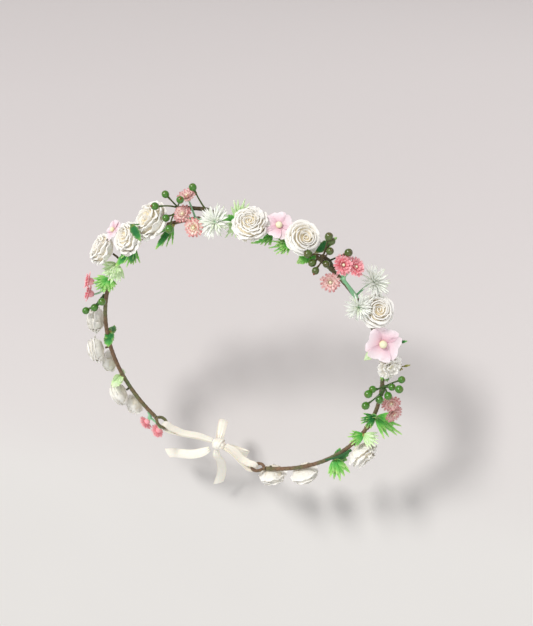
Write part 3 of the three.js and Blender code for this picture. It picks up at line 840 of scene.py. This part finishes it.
# The rolled heart (radius, turns), the size of the filled heart, and the rings of petals from the heart
# outwards: how many, half their spread in degrees, their ruffle and their outline.
ROSE_FORMS = {
    "spiral": {
        "roll": (0.28, 2.0),
        "core": 0.9,
        "rings": [(3, 75, 0.02, cup(0.42, 0.6, 0.02)), (3, 72, 0.03, cup(0.58, 0.56, 0.05)),
                  (4, 60, 0.05, cup(0.76, 0.44, 0.08)), (5, 50, 0.07, cup(0.92, 0.2, 0.1)),
                  (6, 44, 0.07, cup(1.0, -0.08, 0.06))],
    },
    "fluted": {
        "roll": (0.24, 2.3),
        "core": 0.97,
        "rings": [(4, 58, 0.03, cup(0.34, 0.58, 0.02)), (5, 48, 0.05, cup(0.48, 0.57, 0.04)),
                  (6, 42, 0.07, cup(0.63, 0.5, 0.05)), (8, 32, 0.08, cup(0.79, 0.36, 0.06)),
                  (10, 26, 0.08, cup(0.93, 0.14, 0.07)), (11, 24, 0.08, cup(1.02, -0.1, 0.05))],
    },
    "open": {
        "roll": (0.16, 1.3),
        "core": 0.95,
        "rings": [(3, 66, 0.06, cup(0.32, 0.5, 0.03)), (4, 58, 0.1, cup(0.5, 0.54, 0.06)),
                  (5, 50, 0.13, cup(0.7, 0.46, 0.09)), (6, 42, 0.14, cup(0.88, 0.26, 0.1)),
                  (7, 38, 0.12, cup(0.98, -0.04, 0.07))],
    },
}

# Where each rose sits (angle, reach, height), its radius, the way it looks (tilt, aside), its form and spin,
# and how far its heart is off its middle.
ROSES = {
    "rose_01": ((71, 96, 2), 9, (20, 0), "open", 10, (0, 0)),
    "rose_02": ((55, 90, 10), 9.2, (40, 0), "open", 40, (0, 0)),
    "rose_03": ((44, 92, 7), 11, (30, 10), "open", 75, (0.05, 0.1)),
    "rose_04": ((6, 89.5, 7.5), 9.5, (35, 0), "fluted", 20, (0, 0)),
    "rose_05": ((-12, 92.5, 3), 9, (30, -5), "spiral", 0, (-0.14, 0.12)),
    "rose_06": ((-48, 92, 1), 8.8, (35, 25), "spiral", 55, (0, 0)),
    "rose_07": ((-113, 92.5, 2), 9, (15, 0), "open", 30, (0, 0)),
    "rose_08": ((-142.5, 91, -3), 8, (0, 0), "spiral", 15, (0, 0)),
    "rose_09": ((-156, 91, -3), 8, (5, 0), "open", 50, (0, 0)),
    "rose_10": ((104.5, 92, -3), 7.5, (10, 0), "spiral", 35, (0, 0)),
    "rose_11": ((115, 92, 4), 7.5, (25, 0), "spiral", 5, (0, 0)),
    "rose_12": ((123, 91, -3), 6, (0, 0), "open", 25, (0, 0)),
    "rose_13": ((135, 91, 4), 7, (20, 0), "spiral", 60, (0, 0)),
    "rose_14": ((142.5, 91, -1), 6, (5, 0), "open", 10, (0, 0)),
}
# The filled heart behind the petals, as [radius, height] from its back to its front. Its cream-tan paper is
# painted shade in the gaps between the petals.
ROSE_CORE = [
    (0.04, -0.68), (0.3, -0.62), (0.7, -0.44), (0.86, -0.2), (0.86, 0.0),
    (0.77, 0.22), (0.62, 0.37), (0.42, 0.45), (0.2, 0.45), (0.05, 0.42),
]


def roll(shape, place, basis, size, radius, turns, rng):
    """The rolled heart: one strip of paper wound on itself."""
    t, v = np.linspace(0, 1, int(18 * turns))[None, :], np.linspace(0, 1, 6)[:, None]
    angle = 2 * math.pi * turns * t
    r = 0.05 + (radius - 0.05) * t + 0.03 * v * np.sin(angle * 1.5 + 1)
    top = 0.5 + 0.1 * t + 0.03 * np.sin(angle * 1.7 + rng.uniform(0, 6))
    h = -0.25 + (top + 0.25) * v
    flare = 1 + 0.12 * v**3
    local = size * np.stack([r * flare * np.cos(angle), r * flare * np.sin(angle), h], axis=2)
    # Its tone of 0.8 gives it most of the paper's heart colour: painted shade deep in the rose.
    shape.shell(WHITE_PAPER, place + local @ basis.T, marks(v * 0.85, t * 2 - 1, 0.8, h), 0.24)


def make_rose(name, rng):
    spot, size, gaze, form, spin, heart = ROSES[name]
    place, way, basis = seated(spot, gaze, spin)
    shape = Shape()
    radius, turns = ROSE_FORMS[form]["roll"]
    middle = place + basis @ (size * np.array([*heart, 0.0]))
    roll(shape, middle, basis, size, radius, turns, rng)
    turn = rng.uniform(0, 360)
    rings = ROSE_FORMS[form]["rings"]
    for ring, (count, half, ruffle, outline) in enumerate(rings):
        drift = 1 - ring / len(rings)
        centre = place + (middle - place) * drift
        # Inner rings take more of the heart colour: painted shade deeper in the rose.
        tone = 0.5 * drift**2
        turn += rng.uniform(20, 50)
        for i in range(count):
            bent = [(r * rng.uniform(0.95, 1.05), h + rng.uniform(-0.05, 0.05)) for r, h in outline]
            cupped_petal(
                shape, centre, basis, size, turn + i * 360 / count + rng.uniform(-7, 7),
                half * rng.uniform(0.9, 1.1), bent, rng, ruffle, tone + rng.uniform(0, 0.08),
            )
    shape.turned(CREVICE_SHADE_PAPER, place, basis, np.array(ROSE_CORE) * size * ROSE_FORMS[form]["core"], tone=0.1)
    stem_to(shape, spot[0], place, way, 0.7 * size)
    shape.piece(name)


make_all(ROSES, make_rose, 100)

# ------------ blossoms

# Where each blossom sits (angle, reach, height), its radius, the way it looks, its look, petals and spin.
BLOSSOMS = {
    "pink_blossom_1": ((61, 98, 3), 6, (25, 0), PINK_PAPER, 5, 20),
    "pink_blossom_2": ((-3, 91, 2), 7.5, (35, 0), PINK_PAPER, 5, 10),
    "pink_blossom_3": ((-59, 90, 6), 9, (55, 20), PINK_PAPER, 4, 35),
    "white_blossom": ((-68, 90.5, 6), 7.4, (40, 0), WHITE_PAPER, 6, 15),
}
CALYX = np.array([(0.04, -0.5), (0.14, -0.44), (0.2, -0.2), (0.12, 0.0), (0.03, 0.02)])


def make_blossom(name, rng):
    spot, size, gaze, look, count, spin = BLOSSOMS[name]
    place, way, basis = seated(spot, gaze, spin)
    shape = Shape()
    slot, layers, ruffle, bead = "pink_paper", 1, 0.1, 0.25 * size
    if look is WHITE_PAPER:
        slot, layers, ruffle, bead = "white_paper", 3, 0.16, 0.16 * size
    for layer in range(layers):
        for i in range(count):
            spread_petal(
                shape, look, place + way * (0.14 * (i % 2)), basis,
                (i + 0.5 * layer) * 360 / count + rng.uniform(-6, 6),
                0.06 * size, (1.0 - 0.22 * layer) * size * rng.uniform(0.94, 1.04),
                (5.9 / count) * size * (1 - 0.2 * layer), rng.uniform(4, 20) + 24 * layer, 0.07 * size, rng,
                profile="square", tone=rng.uniform(0.2, 0.9), sag=0.08 * size, notch=0.07, thickness=0.22,
                ruffle=ruffle * size,
            )
    outline = dome(bead, -0.5 * bead, 1.3 * bead)
    shape.turned(BEAD, place + way * 0.1 * size, basis, outline, sides=14, lobes=5, depth=0.06)
    shape.turned(GREEN_STEM, place, basis, CALYX * size)
    stem_to(shape, spot[0], place, way, 0.42 * size)
    shape.piece(name)


make_all(BLOSSOMS, make_blossom, 200)

# ------------ spiky flowers and daisies

# Where each spiky flower sits, its radius and the way it looks.
SPIKY = {
    "spiky_flower_1": ((18.5, 88, 10), 9, (45, 10)),
    "spiky_flower_2": ((-40, 96, -6), 9, (15, 0)),
    "spiky_flower_3": ((-42.5, 87.5, 7.5), 7.5, (60, 0)),
}
# Rings of spikes from the outside in: how many, their lift in degrees, their length and width.
SPIKE_RINGS = (
    (20, 2, 1.05, 0.14), (19, 16, 1.05, 0.14), (17, 32, 0.95, 0.13), (13, 50, 0.8, 0.12), (7, 70, 0.6, 0.1),
)
SPIKY_BASE = np.array([(0.04, -0.6), (0.12, -0.5), (0.18, -0.2), (0.12, -0.05), (0.03, 0.0)])


def make_spiky(name, rng):
    spot, size, gaze = SPIKY[name]
    place, way, basis = seated(spot, gaze)
    shape = Shape()
    for count, lift, share, width in SPIKE_RINGS:
        for i in range(count):
            tone = rng.uniform(0.5, 1.0) if rng.uniform() < 0.12 else rng.uniform(0, 0.15)
            spread_petal(
                shape, WHITE_PLASTIC, place, basis, i * 360 / count + rng.uniform(-7, 7) + lift, 0.08 * size,
                size * share * rng.uniform(0.85, 1.08), width * size, lift + rng.uniform(-8, 8), 0.03 * size,
                rng, profile="needle", tone=tone, sag=rng.uniform(-0.08, 0.18) * size, thickness=0.2,
            )
    shape.turned(PICK_GREEN, place, basis, SPIKY_BASE * size)
    stem_to(shape, spot[0], place, way, 0.55 * size, PICK_GREEN)
    shape.piece(name)


make_all(SPIKY, make_spiky, 300)

# Each pick: its slot, where it stands on the wire, its fork, and its heads as
# (angle, reach, height, radius, tilt, look).
DAISY_PICKS = {
    "daisy_pick_1": ("dusty_plastic", 26, (27.5, 86.5, 5), [
        (30, 98, -0.5, 5.5, 10, DUSTY_PLASTIC), (30.5, 92, 8.5, 5.5, 35, DUSTY_PLASTIC),
        (26, 86, 13, 5.5, 65, SUNNY_PLASTIC)]),
    "daisy_pick_2": ("coral_plastic", -34, (-32, 86.5, 1), [
        (-27.5, 96, 6, 6, 35, CORAL_PLASTIC), (-31, 98, 2, 5.5, 20, CORAL_PLASTIC),
        (-28.5, 87, 12, 5.5, 70, DUSTY_PLASTIC)]),
    "daisy_pick_3": ("coral_plastic", 88, (88, 87, 1), [
        (85.5, 95, 4, 5.5, 20, CORAL_PLASTIC), (91.5, 94, 2, 5, 10, CORAL_PLASTIC)]),
    "daisy_pick_4": ("dusty_plastic", -88, (-87, 86, 1), [
        (-83.5, 92, 6, 5.5, 60, DUSTY_PLASTIC), (-90, 94, 1.5, 5.5, 35, DUSTY_PLASTIC)]),
    "daisy_pick_5": ("coral_plastic", 148, (150, 88, 0), [
        (150.5, 91, 2, 4.5, 15, CORAL_PLASTIC), (156, 91, 0.5, 4.5, 0, CORAL_PLASTIC)]),
}
# Rings of petals from the outside in: how many, their lift in degrees, their length and width.
DAISY_RINGS = ((15, 6, 1.0, 0.3), (13, 30, 0.86, 0.27), (8, 58, 0.55, 0.22))
DAISY_BACK = np.array([(0.06, -0.52), (0.2, -0.48), (0.42, -0.2), (0.4, 0.02), (0.05, 0.08)])
# Where a pick's stem runs on along the wire, as [angle, reach, height].
RUNNERS = {"daisy_pick_2": [(-32, 86.5, 1.2), (-35.5, 86.6, 2.2), (-38, 86.4, 2.4), (-40.5, 86, 2.3)]}


def make_daisy_pick(name, rng):
    slot, base, fork, heads = DAISY_PICKS[name]
    meeting = at(*fork)
    shape = Shape()
    stem_to(shape, base, meeting, facing(base, 0), 0.0, PICK_GREEN, 0.85)
    shape.turned(PICK_GREEN, meeting, axes(facing(base, 10)), dome(1.3, -1.4, 1.6), sides=9)
    if name in RUNNERS:
        runner = spline([at(*p) for p in RUNNERS[name]], 12)
        shape.tube(PICK_GREEN, runner, np.linspace(0.8, 1.5, 12), sides=9)
    for angle, reach, height, size, tilt, look in heads:
        place, way = at(angle, reach, height), facing(base, tilt)
        basis = axes(way, rng.uniform(0, 90))
        back = place - way * 0.45 * size
        path = spline([meeting, (meeting + back) / 2 - way * 0.8, back], 8)
        shape.tube(PICK_GREEN, path, np.linspace(0.62, 0.5, 8))
        shape.turned(look, place, basis, DAISY_BACK * size, tone=0.9)
        for count, lift, share, width in DAISY_RINGS:
            for i in range(count):
                spread_petal(
                    shape, look, place, basis, i * 360 / count + lift * 2 + rng.uniform(-4, 4), 0.2 * size,
                    0.82 * size * share * rng.uniform(0.9, 1.08), width * size, lift + rng.uniform(-5, 5),
                    0.02 * size, rng, profile="blunt", tone=rng.uniform(0, 0.5), sag=-0.06 * size,
                    thickness=0.26, notch=0.16,
                )
        shape.turned(BEAD, place, basis, dome(0.16 * size, 0, 0.34 * size, 7), sides=10, lobes=5, depth=0.15)
    shape.piece(name)


make_all(DAISY_PICKS, make_daisy_pick, 400)

# ------------ berries

# Each spray: its slot, the looks of its berries, stem and stalks, its stem as [angle, reach, height], and
# its berries as (fork, angle, reach, height).
BERRY_SPRAYS = {
    "berry_spray_1": (
        "green_berry", GREEN_BERRY, STEM_LOOK, OLIVE_STEM,
        [(18, 83.5, -3), (25, 89, -1.5), (33.5, 93.5, 2.5)],
        [(1, 26, 105, 3), (2, 34, 105, 8), (2, 37, 102, 14), (2, 29.5, 101, 9), (2, 35.5, 93.5, 13),
         (2, 34, 89, 18)],
    ),
    "berry_spray_2": (
        "olive_berry", OLIVE_BERRY, STEM_LOOK, STEM_LOOK,
        [(-28, 83.5, -3), (-24, 87.5, 0), (-21, 91, 5)],
        [(2, -18.5, 105, 7), (2, -20, 103, 6), (2, -21.5, 98, 7), (1, -26, 103, 4), (2, -16.5, 90.5, 10.5),
         (2, -19.5, 87, 10), (2, -22, 86.5, 13), (1, -23.5, 90, 7)],
    ),
    "berry_spray_3": (
        "green_berry", GREEN_BERRY, STEM_LOOK, OLIVE_STEM,
        [(-84, 85, 2), (-80, 86.5, 4.5), (-77, 87.5, 7)],
        [(2, -71, 99, 11), (2, -74, 98, 13), (2, -75, 93, 10), (2, -78, 91.5, 12), (2, -75, 83.5, 15),
         (2, -76, 82, 18), (2, -80, 87, 13), (1, -83, 80.5, 16)],
    ),
    "berry_spray_4": (
        "green_berry", GREEN_BERRY, OLIVE_STEM, OLIVE_STEM,
        [(92, 86.5, -3), (95, 88.5, 1)],
        [(1, 98.5, 95, 4), (1, 96.5, 90, 3), (1, 91, 84.5, 6)],
    ),
}
# Berries that keep a red point: the spray, and the place of the berry in its list.
RED_TIPPED = {("berry_spray_1", 2), ("berry_spray_1", 3), ("berry_spray_2", 6)}
PLAIN_NUB = np.array([(0.02, 0.92), (0.2, 0.95), (0.12, 1.08), (0.02, 1.12)])
RED_NUB = np.array([(0.02, 0.8), (0.42, 0.84), (0.3, 1.1), (0.12, 1.32), (0.02, 1.4)])
STALK_RADII = np.interp(np.linspace(0, 1, 10), [0, 0.15, 0.75, 1], [0.75, 0.5, 0.42, 0.7])


def add_berry(shape, look, stalk_look, fork, middle, tipped, rng):
    size = BERRY * rng.uniform(0.92, 1.06)
    way = unit(middle - fork)
    basis = axes(way, rng.uniform(0, 90))
    outline = dome(size, -size, size * 1.02, 11, neck=0.25 * size)
    shape.turned(look, middle, basis, outline, sides=14, lobes=4, depth=0.03, tone=rng.uniform(0, 0.4))
    end_look, nub = (RED_TIP, RED_NUB) if tipped else (look, PLAIN_NUB)
    shape.turned(end_look, middle, basis, nub * size, sides=8, lobes=4, depth=0.3, tone=0.2)
    back = middle - way * 1.05 * size
    shape.tube(stalk_look, bowed(fork, back, rng.normal(0, 0.5, 3)), STALK_RADII)


def make_berry_spray(name, rng):
    slot, look, stem_look, stalk_look, stem, berries = BERRY_SPRAYS[name]
    shape = Shape()
    forks = [at(*p) for p in stem]
    main = spline(forks, 14)
    swell = 1.0 + 0.3 * np.abs(np.sin(np.linspace(0, 3 * math.pi, 14)))
    shape.tube(stem_look, main, swell, sides=8)
    for fork in forks[1:]:
        knuckle = dome(1.25, -1.5, 1.5, 7)
        shape.turned(stem_look, fork, axes(main[-1] - main[0]), knuckle, sides=9, lobes=3, depth=0.15)
    for i, (fork, *spot) in enumerate(berries):
        add_berry(shape, look, stalk_look, forks[fork], at(*spot), (name, i) in RED_TIPPED, rng)
    shape.piece(name)


make_all(BERRY_SPRAYS, make_berry_spray, 500)

# ------------ leaves

LOOKOUT = np.array([-0.1, -0.6, 0.8])  # leaves show their faces to the front and above


def blade(shape, look, foot, tip, width, rng, teeth=0, fold=0.12, droop=0.0):
    """A leaf from `foot` to `tip` with a raised midrib, side ribs and, with `teeth`, a saw edge."""
    tone = rng.uniform(0, 0.6)
    ahead = tip - foot
    length = np.linalg.norm(ahead)
    ahead = ahead / length
    face = unit(LOOKOUT - ahead * (LOOKOUT @ ahead))
    aside = np.cross(face, ahead)
    u, v = across_and_along(4 * teeth + 1, 9) if teeth else across_and_along(10, 7)
    half = width / 2 * np.maximum(np.sin(math.pi * v**0.8) ** 0.75 * (1 - 0.25 * v), 0.035)
    saw = (v * teeth) % 1.0 if teeth else 0 * v
    half = half * (1 + 0.3 * saw * (v < 0.97))
    ribs = 0.1 * np.sin(v * math.pi * max(teeth, 5) * 2 - np.abs(u) * 3) * np.abs(u)
    rise = -fold * width * np.abs(u) * np.sin(v * math.pi) + 0.16 * np.exp(-(u / 0.12) ** 2) + ribs
    rise = rise - droop * v**2 + 0.1 * width * np.sin(2.4 * v + tone * 9) * u
    along = length * v + 0.12 * width * saw * np.abs(u)
    grid = foot + ahead * along[..., None] + aside * (half * u)[..., None] + face * rise[..., None]
    shape.shell(look, grid, marks(v, u, tone, rise), 0.3)


def swung(vector, axis, degrees):
    axis, c, s = unit(axis), math.cos(degrees * DEGREE), math.sin(degrees * DEGREE)
    return vector * c + np.cross(axis, vector) * s + axis * (axis @ vector) * (1 - c)


FAN_LAYERS = ((7, 42, 1.0), (6, 30, 0.72))  # lobes, their spread to each side in degrees, their reach


def fan(shape, look, foot, tip, width, rng):
    """Two layers of narrow pointed lobes that part from one foot, like a small cut frond."""
    face = unit(LOOKOUT)
    for layer, (fingers, spread, share) in enumerate(FAN_LAYERS):
        for i in range(fingers):
            part = (i / (fingers - 1) - 0.5) * 2
            reach = (tip - foot) * share * (1 - 0.25 * abs(part)) * rng.uniform(0.88, 1.05)
            lifted = face * (layer * 1.2 + rng.uniform(-0.7, 0.7))
            end = foot + swung(reach, face, part * spread + rng.uniform(-5, 5)) + lifted
            blade(shape, look, foot, end, width * 0.28, rng, fold=0.2, droop=rng.uniform(0, 1))


def frond(shape, look, foot, tip, width, rng):
    """A stem with pairs of narrow leaflets and one at its tip."""
    path = bowed(foot, tip, rng.normal(0, 0.5, 3))
    shape.tube(look, path, np.linspace(0.45, 0.25, 10), sides=6, tone=0.8)
    face = unit(LOOKOUT)
    for i in range(4):
        root = path[2 + int(1.5 * i)]
        reach = unit(tip - foot) * width * (1 - 0.1 * i)
        for side in (-1, 1):
            end = root + swung(reach, face, side * rng.uniform(32, 46)) + face * rng.uniform(-0.5, 0.5)
            blade(shape, look, root, end, width * 0.34, rng, fold=0.2)
    blade(shape, look, path[-2], tip + unit(tip - foot) * 0.6 * width, width * 0.34, rng)


# Each sprig: its slot, where it stands, and its leaves as (form, look, tip (angle, reach, height), width).
LEAF_SPRIGS = {
    "leaf_sprig_01": ("leaf_green", 39, [
        ("lone", LEAF_GREEN, (43.5, 80, 18), 3.6), ("fan", FRESH_LEAF, (46, 80, 12), 4)]),
    "leaf_sprig_02": ("leaf_green", 61, [
        ("lone", LEAF_GREEN, (65, 78.5, 7), 5), ("fan", FRESH_LEAF, (68, 79, 7), 6),
        ("lone", LEAF_GREEN, (71, 84.5, 7), 5)]),
    "leaf_sprig_03": ("pale_leaf", 73, [
        ("fan", PALE_LEAF, (79.5, 81.5, 8), 11), ("fan", PALE_LEAF, (77, 89, 9), 10),
        ("fan", PALE_LEAF, (72, 82, 12), 8)]),
    "leaf_sprig_04": ("leaf_green", 81.5, [
        ("fan", FRESH_LEAF, (85.5, 91, 8), 9), ("fan", FRESH_LEAF, (83.5, 80, 8), 8)]),
    "leaf_sprig_05": ("leaf_green", 109, [
        ("saw", LEAF_GREEN, (111, 81, 8), 6), ("saw", LEAF_GREEN, (110, 86, -12), 5)]),
    "leaf_sprig_06": ("pale_leaf", 129, [
        ("saw", PALE_LEAF, (129, 85, 12), 6), ("fan", PALE_LEAF, (130, 92, -12), 7)]),
    "leaf_sprig_07": ("pale_leaf", 12, [
        ("fan", PALE_LEAF, (10.5, 98, -2.5), 7), ("lone", FRESH_LEAF, (18, 88.5, 5), 4.5),
        ("fan", PALE_LEAF, (14, 80, 11), 5)]),
    "leaf_sprig_08": ("leaf_green", -1.5, [
        ("lone", FRESH_LEAF, (3.5, 82, 13), 4), ("fan", FRESH_LEAF, (0.5, 80, 9), 5)]),
    "leaf_sprig_09": ("leaf_green", -18, [
        ("saw", FRESH_LEAF, (-15, 83, 11.5), 6), ("lone", LEAF_GREEN, (-21, 97, -8), 5)]),
    "leaf_sprig_10": ("leaf_green", -62, [
        ("saw", PALE_LEAF, (-63, 80, 12), 5), ("frond", LEAF_GREEN, (-61.5, 98, -1), 5)]),
    "leaf_sprig_11": ("leaf_green", -95, [
        ("saw", LEAF_GREEN, (-90.5, 86.5, 9), 5), ("fan", LEAF_GREEN, (-97, 80.5, 10), 6),
        ("fan", FRESH_LEAF, (-96.5, 103, 0), 8)]),
    "leaf_sprig_12": ("pale_leaf", -105.5, [
        ("fan", FRESH_LEAF, (-108.5, 80, 9), 6), ("fan", PALE_LEAF, (-103, 95, 6), 7)]),
    "leaf_sprig_13": ("pale_leaf", -125, [
        ("fan", FRESH_LEAF, (-126, 98, 8), 11), ("saw", LEAF_GREEN, (-122, 90, -10), 6)]),
    "leaf_sprig_14": ("leaf_green", -73, [
        ("frond", OLIVE_LEAF, (-70.5, 98, -1), 4), ("fan", LEAF_GREEN, (-73.5, 90, 9), 6)]),
    "leaf_sprig_15": ("leaf_green", -9, [
        ("fan", FRESH_LEAF, (-3, 80.5, 9), 5), ("fan", FRESH_LEAF, (-6, 82, 12), 5)]),
}
# Leaves that lie apart from their sprig's foot: look, root, tip, width and the stalk that reaches them.
LAID_LEAVES = {
    "leaf_sprig_01": (LEAF_GREEN, (46.8, 98, 18), (46.3, 88, 20), 4.6, (47, 92, 8)),
}
# A bare twig that runs along the wire, as [angle, reach, height].
TWIGS = {"leaf_sprig_13": [(-115.5, 86.4, 1.7), (-119, 85.6, 2.4), (-123, 84.8, 2.6), (-128, 83.4, 2)]}


def make_leaf_sprig(name, rng):
    slot, base, leaves = LEAF_SPRIGS[name]
    shape = Shape()
    tips = np.array([at(*tip) for _, _, tip, _ in leaves])
    wire = at(base, RING)
    out = at(base, 1)
    pull = (tips - wire).sum(0)
    lean = unit(out * (pull @ out) + np.array([0, 0, pull[2]]))
    foot = wire + lean * (TAPE + 0.5)
    shape.turned(OLIVE_LEAF, foot, axes(lean), dome(1.0, -0.9, 1.3, 7), sides=9, lobes=3, depth=0.2)
    for form, look, tip, width in leaves:
        end = at(*tip)
        if form == "fan":
            fan(shape, look, foot, end, width, rng)
        elif form == "frond":
            frond(shape, look, foot, end, width, rng)
        else:
            blade(shape, look, foot, end, width, rng, teeth=7, droop=0.8)
        if form == "saw":
            for side in (-1, 1):
                short = (end - foot) * rng.uniform(0.5, 0.7)
                reach = swung(short, unit(LOOKOUT), side * rng.uniform(28, 45))
                blade(shape, look, foot, foot + reach, width * 0.6, rng, teeth=5)
    if name in LAID_LEAVES:
        look, root, tip, width, stalk = LAID_LEAVES[name]
        blade(shape, look, at(*root), at(*tip), width, rng, teeth=5, fold=0.05, droop=0.6)
        joint = at(*root) * 0.9 + at(*tip) * 0.1
        shape.tube(look, spline([at(*stalk), at(*root), joint], 8), 0.4, sides=6)
    if name in TWIGS:
        twig = spline([at(*p) for p in TWIGS[name]], 14)
        shape.tube(GREEN_STEM, twig, np.linspace(0.9, 0.6, 14))
    shape.piece(name)


make_all(LEAF_SPRIGS, make_leaf_sprig, 600)

# ------------ floor and light

# The floor slopes between two levels: the shadow falls soft and aside, and no floor stands in front of the
# crown from behind.
FLOOR_MIDDLE = -123.5  # height of the slope under the middle of the circlet
FLOOR_SLOPE = (-0.247, 0.814)  # how it rises along x and along y
FLOOR_LOW, FLOOR_HIGH = -230, -24  # heights of the two levels
FLOOR_EASE = 12  # how softly it bends into them
FLOOR_REACH = 8000  # how far it goes to each side
FLOOR_LINES = 241  # lines of its grid each way, closest in the middle
FLOOR_FALLOFF_WAY = (0.345, -0.684, -0.642)  # the way in which painted shade darkens it, as if the light fell off
FLOOR_FALLOFF_SPAN = {"From_Min": -0.131, "From_Max": 0.289}  # from where to where along it, in metres
# Painted shade: the floor's colours darken along that way as though the light fell off.
FLOOR_FALLOFF_TONES = {0.0: "C8C6C4", 0.25: "C7C3C2", 0.5: "C2BDBD", 0.75: "BCB7B7", 1.0: "B0ABAB"}


def floor_height(x, y):
    lean = FLOOR_MIDDLE + FLOOR_SLOPE[0] * x + FLOOR_SLOPE[1] * y
    raised = FLOOR_LOW + FLOOR_EASE * np.logaddexp(0, (lean - FLOOR_LOW) / FLOOR_EASE)
    return FLOOR_HIGH - FLOOR_EASE * np.logaddexp(0, (FLOOR_HIGH - raised) / FLOOR_EASE)


def make_floor():
    line = FLOOR_REACH * np.linspace(-1, 1, FLOOR_LINES) ** 3
    x, y = np.meshgrid(line, line, indexing="ij")
    points = np.stack([x, y, floor_height(x, y)], axis=-1).reshape(-1, 3) * MM
    corner = np.arange(FLOOR_LINES * FLOOR_LINES).reshape(FLOOR_LINES, FLOOR_LINES)
    faces = np.stack([corner[:-1, :-1], corner[1:, :-1], corner[1:, 1:], corner[:-1, 1:]], axis=-1)
    mesh = bpy.data.meshes.new("floor")
    mesh.from_pydata(points.tolist(), [], faces.reshape(-1, 4).tolist())
    mesh.shade_smooth()
    floor = bpy.data.objects.new("floor", mesh)
    bpy.context.scene.collection.objects.link(floor)
    look = Look("floor")
    # Painted shade: darker along the falloff way.
    away = look.node("VectorMath", {"operation": "DOT_PRODUCT"})
    look.feed(away.inputs[0], look.place)
    look.feed(away.inputs[1], FLOOR_FALLOFF_WAY)
    share = look.node("MapRange", Value=away.outputs["Value"], **FLOOR_FALLOFF_SPAN)
    # Painted light: the raised level gets a lighter colour to make up for the key light striking it more
    # slantwise than the slope.
    height = look.node("SeparateXYZ", Vector=look.place).outputs[2]
    below = look.math("SUBTRACT", height, FLOOR_HIGH * MM)
    level = look.math("EXPONENT", look.times(below, 2 / (FLOOR_EASE * MM)))
    shade = look.mix(level, look.ramp(share.outputs[0], FLOOR_FALLOFF_TONES), "DAD8D5")
    cloud = look.span(look.noise(9, 2), 0.0, 0.1)
    mesh.materials.append(look.finish(look.mix(cloud, shade, "B8B3B2"), 0.9))


def sun(name, comes_from, spread, power, colour):
    data = bpy.data.lights.new(name, "SUN")
    data.angle, data.energy, data.color = spread * DEGREE, power, colour
    light = bpy.data.objects.new(name, data)
    light.rotation_mode = "QUATERNION"
    light.rotation_quaternion = Vector(comes_from).to_track_quat("Z", "Y")
    bpy.context.scene.collection.objects.link(light)


def make_light():
    world = bpy.data.worlds.new("world")
    world.use_nodes = True
    sky = world.node_tree.nodes["Background"].inputs
    sky["Color"].default_value = (1.0, 0.99, 0.99, 1)
    sky["Strength"].default_value = 0.72
    bpy.context.scene.world = world
    sun("key", (0.487, -0.727, 0.483), 14, 2.1, (1.0, 0.985, 0.965))
    sun("fill", (-0.6, 0.1, 0.8), 60, 0.44, (0.98, 0.99, 1.0))
    bpy.context.scene.view_settings.view_transform = "Standard"


make_floor()
make_light()
